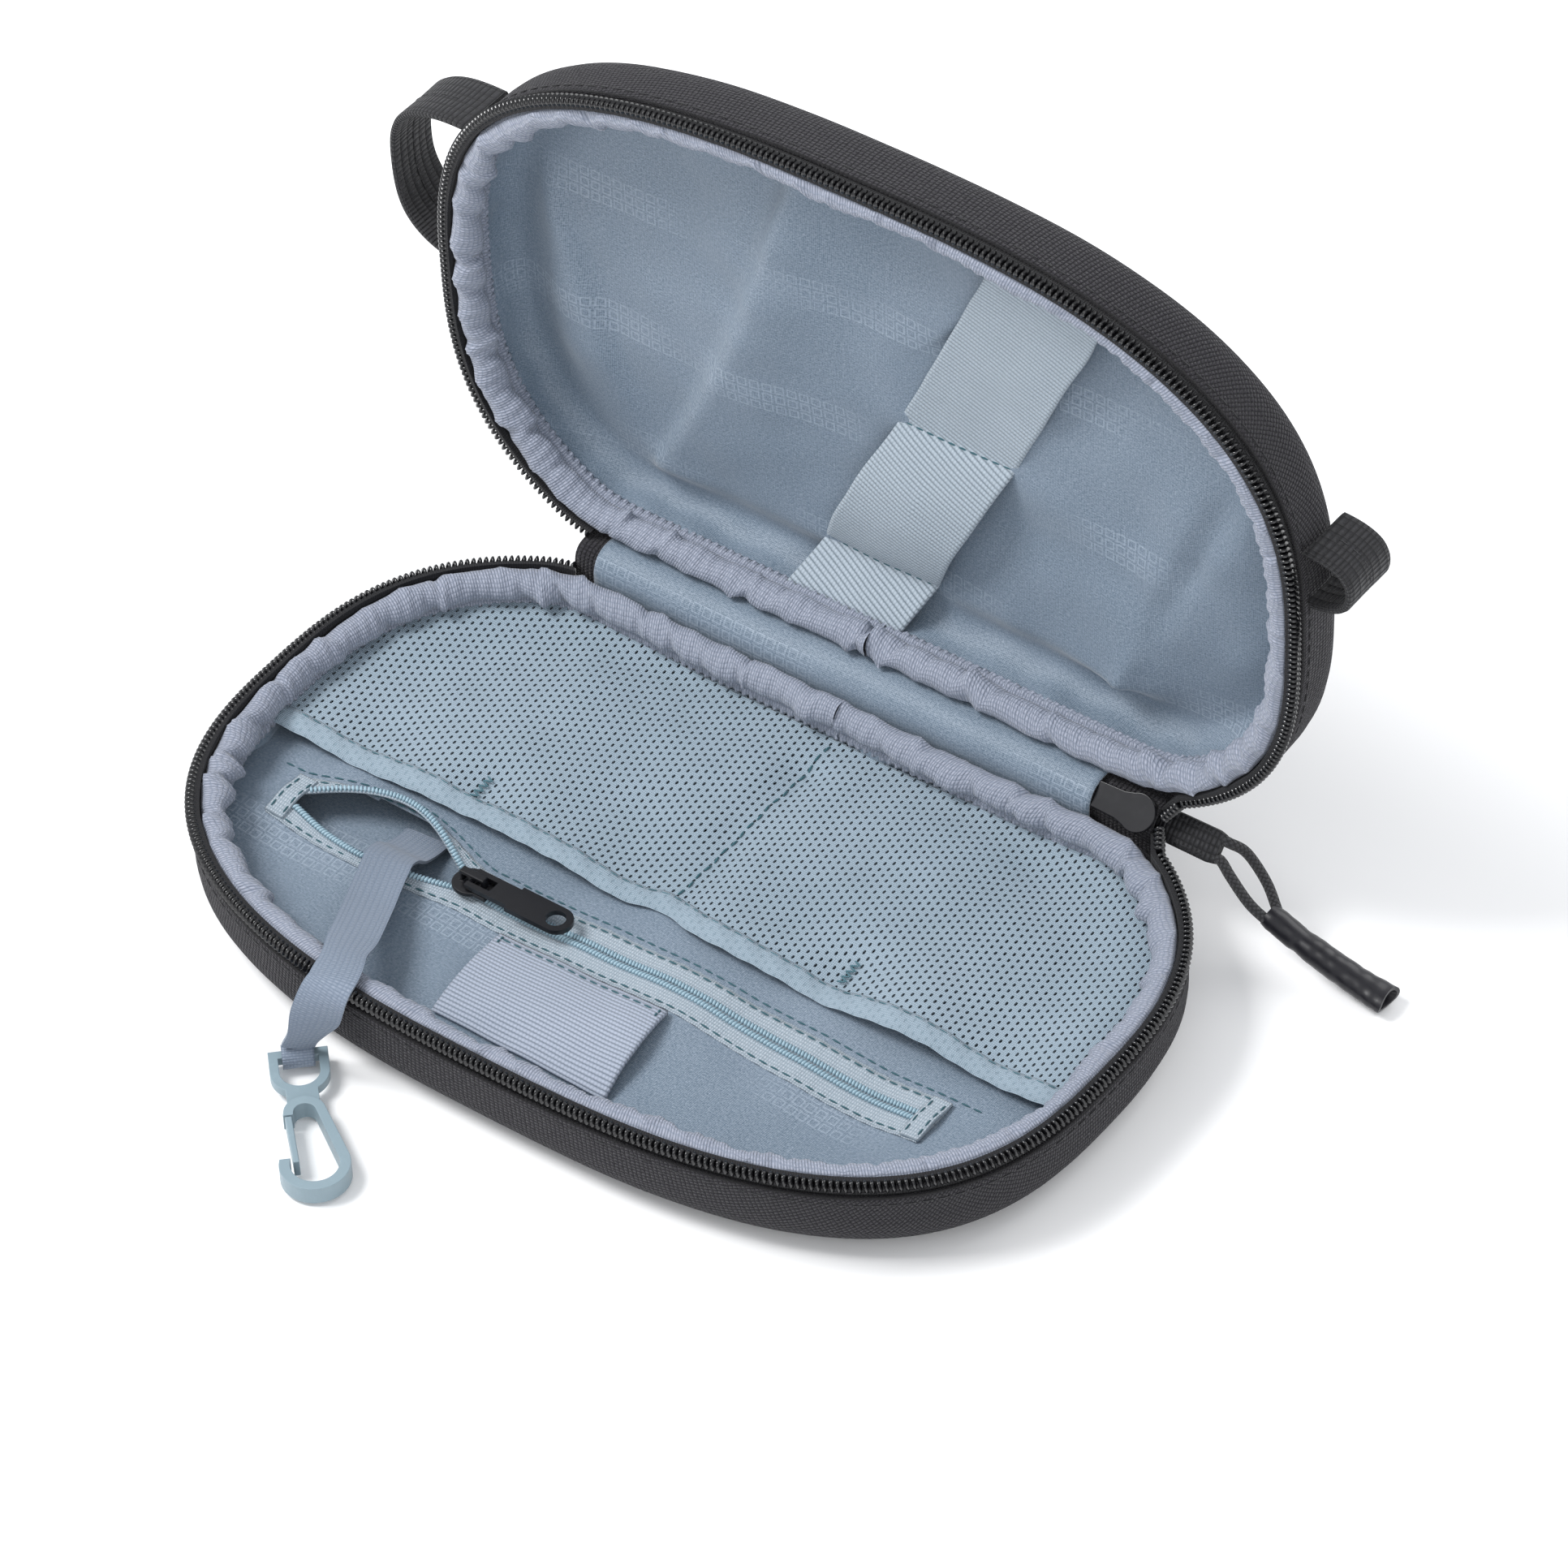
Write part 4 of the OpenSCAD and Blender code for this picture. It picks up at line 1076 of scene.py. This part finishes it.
def meshHeight(x, y):
    # stretched at the rim, slack in front, and held down by the divider and two small tacks
    edge = ((abs(x) / 97.5) ** 2.75 + (abs(y - 2) / 60) ** 2.75) ** (1 / 2.75)
    rim = eased((1 - edge) / 0.22)
    height = 13.5 - 1.9 * rim
    front = eased((22 - y) / 30)
    for middle in (-52, 46):
        height += 1.5 * hump(x - middle, 26) * hump(y - 12, 24) * rim
    height += rim * (0.75 * math.sin(x * 0.115 + y * 0.07 + 2.2 * drift(x, y, 92, 0.02)) * front
                     + 1.0 * drift(x, y, 93, 0.045) + 0.35 * drift(x, y, 94, 0.12))
    for tack in meshFacts["tacks"]:
        height -= 1.7 * hump(x - tack, 6.5) * hump(y + 1, 9)
    hold = hump(x - meshFacts["divider"], 5.5) * eased((48 - y) / 8)
    floor = panelHeight(x, y)
    height = mixed(height, floor + 0.9, min(1.0, hold * 1.05))
    return max(height, floor + 0.8)


def halfWidthAt(y, inset):
    reach = min(1.0, abs(y) / (pouch["halfDepth"] - inset))
    return (pouch["halfLength"] - inset) * (1 - reach ** pouch["squareness"]) ** (1 / pouch["squareness"])


def makeMesh():
    bm = blank()

    def place(u, v):
        y = mixed(meshFacts["hem"], meshFacts["rear"], v)
        x = mixed(-1, 1, u) * halfWidthAt(y, 5.0)
        y = mixed(hemLine(x), meshFacts["rear"], v)
        return Vector((x, y, meshHeight(x, y)))

    sheetGrid(bm, 240, 90, place, lambda u,
              v: (mixed(-1, 1, u) * halfWidthAt(mixed(-8, 51.6, v), 5.0) + 200, v * 59.6))
    piece = finishPiece("pocketMeshSheet", bm, "mesh", "base", ("mesh_pocket",), closed=False,
                        thick=0.4)
    return piece


def makeHem():
    # the mesh folded under itself along the pocket's mouth
    bm = blank()
    section = [(4.4, 0.42), (3.2, 0.55), (1.6, 0.62), (0.2, 0.45), (-0.5, -0.1), (0.2, -0.62), (1.8, -0.7),
               (4.2, -0.55)]
    count = len(section) - 1

    def place(u, v):
        x = mixed(-1, 1, u) * halfWidthAt(-8, 5.1)
        back, lift = section[round(v * count)]
        y = hemLine(x) + back
        return Vector((x, y, meshHeight(x, y) + lift + 0.14 * math.sin(x * 0.9 + back)))

    sheetGrid(bm, 320, count, place, lambda u, v: (u * 195 + 200, 4.4 - v * 10))
    return finishPiece("pocketHemFold", bm, "mesh", "base", ("mesh_hem",), closed=False, thick=0.35)


makeMesh()
makeHem()
bm = blank()
stitches(bm, [(meshFacts["divider"] + 0.25 * math.sin(y * 0.8), y,
               meshHeight(meshFacts["divider"], y) + 0.38)
              for y in np.linspace(-5, 50, 120)], 2.0, 0.9, 0.5)
finishPiece("dividerStitch", bm, "thread", "base", ("mesh_divider",))
bm = blank()
for tack in meshFacts["tacks"]:
    zigzag = []
    for k in range(9):
        x, y = tack + (1.1 if k % 2 else -1.1), -3.0 + k * 0.75
        zigzag.append((x, y, meshHeight(x, y) + 0.85))
    for a, b in zip(zigzag, zigzag[1:]):
        stitches(bm, [a, b], 1.9, 0.1, 0.45)
line = [(x, hemLine(x) + 3.8, meshHeight(x, hemLine(x) + 3.8) + 0.75) for x in np.linspace(-94, 94, 300)]
stitches(bm, line, 1.9, 1.0, 0.3)
finishPiece("pocketTacks", bm, "liningThread", "base")
print("mesh pocket made")

# ---- pen loop, flat webbing with both long edges down on the panel, sewn along the rear one ----
penFacts = {"left": -24.0, "right": 17.5, "rear": -28.6, "front": -53.5, "rise": 2.0}


def makePenLoop():
    bm = blank()

    def place(u, v):
        y = mixed(penFacts["rear"] - 0.4 * u, penFacts["front"], v)
        x = mixed(penFacts["left"] + 2.4 * v, penFacts["right"] + 3.0 * v, u)
        rise = penFacts["rise"] * math.sin(math.pi * v) ** 0.8 * (0.8 + 0.35 * u)
        return Vector((x, y, panelHeight(x, y) + 1.1 + rise + 0.2 * drift(x, y, 97, 0.12)))

    sheetGrid(bm, 50, 30, place, lambda u, v: (u * 41.5, v * 25.5))
    piece = finishPiece("penLoopWebbing", bm, "loop", "base", ("pen_loop",), closed=False,
                        thick=0.9)
    bm = blank()
    for row in (0.06,):
        stitches(bm, [place(u, row) + Vector((0, 0, 0.6)) for u in np.linspace(0.02, 0.98, 40)], 1.9, 0.8,
                 0.4)
    for side in (0.03, 0.97):
        stitches(bm, [place(side, v) + Vector((0, 0, 0.6)) for v in np.linspace(0.02, 0.16, 6)], 1.0, 0.3,
                 0.5)
    finishPiece("penLoopStitch", bm, "thread", "base")


makePenLoop()

# ---- elastic band across the lid ----
bandFacts = {"wide": 27.8, "slant": 0.486, "middle": 13.6, "seamA": 2.0, "seamB": 42.6, "top": -57.5,
             "foot": 51.8,
             "rise": 5.2}


def bandHeight(y, across):
    low = pouch["floor"] + 0.9
    if y < bandFacts["seamA"]:
        part = (bandFacts["seamA"] - y) / (bandFacts["seamA"] - bandFacts["top"])
        return low + 7.6 * part ** 1.6 + 0.7 * math.sin(math.pi * min(1, part * 1.4)) + 0.5 * across ** 2 * part
    if y < bandFacts["seamB"]:
        part = (y - bandFacts["seamA"]) / (bandFacts["seamB"] - bandFacts["seamA"])
        return low + bandFacts["rise"] * math.sin(math.pi * part) ** 0.75 - 0.35 * across ** 2
    part = (y - bandFacts["seamB"]) / (bandFacts["foot"] - bandFacts["seamB"])
    return low + 7.6 * part ** 1.1


def bandPlace(u, v):
    y = mixed(bandFacts["top"], bandFacts["foot"], v)
    across = u * 2 - 1
    x = bandFacts["middle"] - (y - bandFacts["seamA"]) * bandFacts["slant"] + across * bandFacts["wide"] / 2
    x += 0.5 * drift(0, y, 101 + (across > 0), 0.08)
    return Vector((x, y, bandHeight(y, across) + 0.25 * drift(x, y, 103, 0.1)))


bandSteps = np.linspace(0, 1, 151)
bandRun = np.cumsum([0] + [(bandPlace(0.5, b) - bandPlace(0.5, a)).length for a,
                           b in zip(bandSteps, bandSteps[1:])])


def bandSpread(u, v):
    # the map's lines run square across the slanted band
    side = (u - 0.5) * bandFacts["wide"]
    long = math.hypot(1, bandFacts["slant"])
    return side / long, float(np.interp(v, bandSteps, bandRun)) - side * bandFacts["slant"] / long


bm = blank()
sheetGrid(bm, 30, 150, bandPlace, bandSpread)
band = finishPiece("lidElasticBand", bm, "elastic", "lid", ("elastic_band",), lid=True,
                   closed=False, thick=0.9)
bm = blank()
for seam in (bandFacts["seamA"], bandFacts["seamB"]):
    share = (seam - bandFacts["top"]) / (bandFacts["foot"] - bandFacts["top"])
    stitches(bm, [bandPlace(u, share) + Vector((0, 0, 0.62)) for u in np.linspace(0.02, 0.98, 40)], 1.9,
             0.7, 0.5)
finishPiece("bandStitch", bm, "thread", "lid", lid=True)
print("elastic band made")

# ---- black webbing loops at the lid's ends ----
loopFacts = {"grab": {"side": -1, "length": 39.0, "out": 17.0},
             "tab": {"side": 1, "length": 14.0, "out": 10.0},
             "y": -16.0, "wide": 14.0, "thick": 1.5, "top": 16.5}


def makeWebLoop(name, node, facts):
    bm = blank()
    edge = halfWidthAt(abs(loopFacts["y"]) + facts["length"] / 2, 0)
    reach = pouch["halfLength"] - edge + facts["out"]
    section = [(-7, -0.2), (-6.9, 0.5), (-6.2, 0.75), (-3, 0.7), (0, 0.62), (3, 0.7), (6.2, 0.75),
               (6.9, 0.5),
               (7, -0.2), (6.6, -0.7), (3, -0.68), (0, -0.6), (-3, -0.68), (-6.6, -0.7)]
    count = len(section)
    grab = facts["length"] > 20

    def place(u, v):
        angle = math.radians(mixed(-90, 90, u))
        across, out = section[round(v * count) % count]
        cosine, sine = max(0.0, math.cos(angle)) ** 0.8, math.copysign(abs(math.sin(angle)) ** 0.8,
                                                                       math.sin(angle))
        wide, tall = reach - loopFacts["thick"] / 2 + out, facts["length"] / 2 - loopFacts["thick"] / 2 + out
        sag = 1.2 * math.sin(math.pi * u) * grab
        pinch = 1 - 0.12 * hump(u - 0.5, 0.16) * grab
        z = loopFacts["top"] - loopFacts["wide"] / 2 + across * pinch - sag
        x = edge + wide * cosine + 0.25 * drift(u * 60, across, 111, 0.1)
        y = loopFacts["y"] + tall * sine + 0.9 * math.sin(angle * 3) * 0.3 * grab
        return Vector((max(x, halfWidthAt(y, 0) + 0.9 + out) * facts["side"], y, z))

    long = math.pi * (reach + facts["length"] / 2) / 2
    sheetGrid(bm, 70, count, place, lambda u, v: (u * long, v * 30.8))
    joinSeam(bm)
    closeEnds(bm)
    finishPiece(name, bm, "webbing", "lid", (node,), lid=True, smooth=50)
    bm = blank()
    for across in ((4,) if not grab else (4, 11)):
        stitches(bm, [place(u, across / count) for u in np.linspace(0.08, 0.92, 60)], 2.2, 0.9, 0.4)
    finishPiece(name + "Stitch", bm, "blackThread", "lid", lid=True)


makeWebLoop("grabLoopWebbing", "grab_loop", loopFacts["grab"])
makeWebLoop("tabLoopWebbing", "tab_loop", loopFacts["tab"])
print("webbing loops made")

# ---- key strap and its clip ----
strapFacts = {"wide": 10.0, "clip": (-41.0, -72.0, 2.5), "turn": 43.5, "route": [
    (-55.4, -12, 5.6), (-55, -16, 6.6), (-54.6, -20, 8.2), (-54.2, -23, 10.8), (-53.2, -26.5, 12.7),
    (-51.6, -30, 13.6),
    (-47, -40, 15.4), (-41.6, -51, 18.9), (-38.4, -58, 21.6), (-36.4, -62, 22.5), (-35, -66, 22.6),
    (-34.8, -67.6, 22.1),
    (-35, -68.9, 20.8), (-35.6, -69.9, 18.4), (-36.8, -70.8, 14.4), (-38.6, -71.4, 10.2),
    (-40.2, -71.8, 7.0),
    (-40.9, -72, 5.2)]}


def makeStrap():
    bm = blank()
    line, length = smoothLine(strapFacts["route"], 110)
    section = [(-1, -0.3), (-0.98, 0.4), (-0.6, 0.5), (0, 0.46), (0.6, 0.5), (0.98, 0.4), (1, -0.3),
               (0.6, -0.5),
               (0, -0.46), (-0.6, -0.5)]
    count = len(section)

    def place(u, v):
        k = round(u * 110)
        point = line[k]
        along = (line[min(k + 1, 110)] - line[max(k - 1, 0)]).normalized()
        wide = strapFacts["wide"] / 2 * (1 - 0.12 * hump(u - 0.66, 0.05) - 0.34 * eased((u - 0.86) / 0.12))
        turned = math.radians(strapFacts["turn"]) * eased((u - 0.72) / 0.25)
        side = Vector((math.cos(turned), math.sin(turned), 0))
        side = (side - along * side.dot(along)).normalized()
        up = side.cross(along).normalized()
        across, lift = section[round(v * count) % count]
        cup = 0.5 * across ** 2 * math.sin(math.pi * min(1, u * 1.5))
        return point + side * across * wide + up * (lift - cup + 0.25 * drift(u * length, across * 4, 121,
                                                                              0.1))

    sheetGrid(bm, 110, count, place, lambda u, v: (u * length, (v if v < 0.6 else 1.2 - v) * 16.6))
    joinSeam(bm)
    closeEnds(bm)
    strap = finishPiece("keyStrapRibbon", bm, "ribbon", None, ("lanyard_inner", "lanyard_outer"),
                        smooth=55)
    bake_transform(strap)
    bm = blank()
    for k in range(7):
        u = 0.665 + 0.0065 * k
        stitches(bm, [place(u, a) for a in ((1 if k % 2 else 5) / 10, (5 if k % 2 else 1) / 10)], 7.4, 0.2,
                 0.45)
    tack = finishPiece("strapTack", bm, "thread", None, ("lanyard_bartack",))
    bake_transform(tack)
    # the strap's end goes round the bar of the clip's eye
    bm = blank()
    hoop = [(math.cos(math.radians(a)) * 2.05, math.sin(math.radians(a)) * 2.15) for a in range(0, 360, 20)]
    ringCount = len(hoop)

    def ring(u, v):
        y, z = hoop[round(v * ringCount) % ringCount]
        return Vector((mixed(-3.2, 3.2, u), y, z + 0.15))

    sheetGrid(bm, 8, ringCount, ring, lambda u, v: (v * 13, u * 6.4))
    joinSeam(bm)
    bmesh.ops.recalc_face_normals(bm, faces=bm.faces)
    bm.transform(Matrix.Translation(strapFacts["clip"]) @ Matrix.Rotation(math.radians(strapFacts["turn"]),
                                                                          4, "Z"))
    finishPiece("strapEyeLoop", bm, "ribbon", "lanyard", closed=False, thick=0.7)
    return length


strapLength = makeStrap()
print("strap made", round(strapLength, 1))

# ---- main slider's cloth tab ----
atSlider = Matrix.Translation((66, axisY, axisZ)) @ Matrix.Rotation(math.pi / 4, 4, "X")


def makePullTab():
    bm = blank()
    line = [Vector((3.4 + k * 0.82, 0, -3.5)) for k in range(20)]

    def reach(u, v):
        wide = float(np.interp(u, (0, 0.08, 0.3, 0.9, 1), (2.5, 3.0, 3.4, 3.45, 3.1)))
        tall = float(np.interp(u, (0, 0.08, 0.3, 0.85, 1), (1.35, 1.6, 1.35, 1.35, 1.0)))
        box = (abs(math.cos(v * 2 * math.pi)) ** 6 + abs(math.sin(v * 2 * math.pi)) ** 6) ** (-1 / 6)
        return wide * box, tall * box * (1 + 0.04 * math.sin(u * 40))

    tubeAlong(bm, line, 15.6, 28, reach)
    bm.transform(atSlider)
    finishPiece("pullTabWebbing", bm, "webbing", "main_pull", ("pull_tab",), smooth=50)
    bm = blank()
    for side in (-2.4, 2.4):
        stitches(bm, [(x, side, -4.95) for x in np.linspace(6, 18.5, 12)], 2.0, 0.8, 0.35)
        stitches(bm, [(x, side, -2.05) for x in np.linspace(8, 18.5, 12)], 2.0, 0.8, 0.35)
    bm.transform(atSlider)
    finishPiece("pullTabStitch", bm, "blackThread", "main_pull")


makePullTab()

# ---- moulded and cast pieces that keep their made shape ----
keptFinishes = {"main_slider": ("slider", 0.42), "main_bail": ("slider", 0.25),
                "pocket_slider": ("blackSlider", 0.25),
                "pocket_pull": ("blackSlider", 0.3), "clip_body": ("clip", 0.4),
                "clip_gate": ("clip", 0.25)}
for node, (look, edge) in keptFinishes.items():
    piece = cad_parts[node]
    piece.data.materials.clear()
    piece.data.materials.append(finishes[look].material)
    weld = piece.modifiers.new("weld", "WELD")
    weld.merge_threshold = 0.000002
    # flat faces come as triangles, and only whole faces round off cleanly
    flat = piece.modifiers.new("flatFaces", "DECIMATE")
    flat.decimate_type, flat.angle_limit = "DISSOLVE", math.radians(2)
    rounded = piece.modifiers.new("edges", "BEVEL")
    rounded.width, rounded.segments, rounded.limit_method = edge * 0.001, 3, "ANGLE"
    rounded.angle_limit = math.radians(35)
    rounded.use_clamp_overlap = True
print("kept pieces finished")

# ---- floor and light ----
def makeStage():
    floor = Finish("floor", Roughness=0.9, Specular_IOR_Level=0.1)
    grain = floor.cloud(floor.inSpace(), 3, 2.0)
    floor.set("Base Color", floor.mix(grain, (0.93, 0.93, 0.935, 1), (0.95, 0.95, 0.95, 1)))
    bm = bmesh.new()
    bmesh.ops.create_grid(bm, x_segments=2, y_segments=2, size=4)
    mesh = bpy.data.meshes.new("floor")
    bm.to_mesh(mesh)
    bm.free()
    mesh.materials.append(floor.material)
    ground = bpy.data.objects.new("floor", mesh)
    ground.location.z = -0.0004
    bpy.context.scene.collection.objects.link(ground)


def makeLamp(name, place, aim, power, width, colour=(1, 1, 1)):
    lamp = bpy.data.lights.new(name, "AREA")
    lamp.energy, lamp.size, lamp.color = power, width, colour
    lamp.shape = "SQUARE"
    holder = bpy.data.objects.new(name, lamp)
    bpy.context.scene.collection.objects.link(holder)
    holder.location = place
    holder.rotation_mode = "QUATERNION"
    holder.rotation_quaternion = (Vector(place) - Vector(aim)).to_track_quat("Z", "Y")


makeStage()
lamps = {"key": ((-0.75, -0.45, 1.25), (0, 0.03, 0.03), 20, 0.6),
         "fill": ((1.1, -0.9, 0.9), (0, 0, 0.03), 6, 1.0),
         "back": ((0.3, 1.2, 0.9), (0, 0.05, 0.05), 7, 0.9)}
for name, (place, aim, power, width) in lamps.items():
    makeLamp(name, place, aim, power, width)
sky = bpy.data.worlds.new("studio")
bpy.context.scene.world = sky
sky.use_nodes = True
sky.node_tree.nodes["Background"].inputs["Color"].default_value = (0.95, 0.97, 1.0, 1)
sky.node_tree.nodes["Background"].inputs["Strength"].default_value = 0.75
bpy.context.scene.view_settings.view_transform = "Standard"

print("light placed")
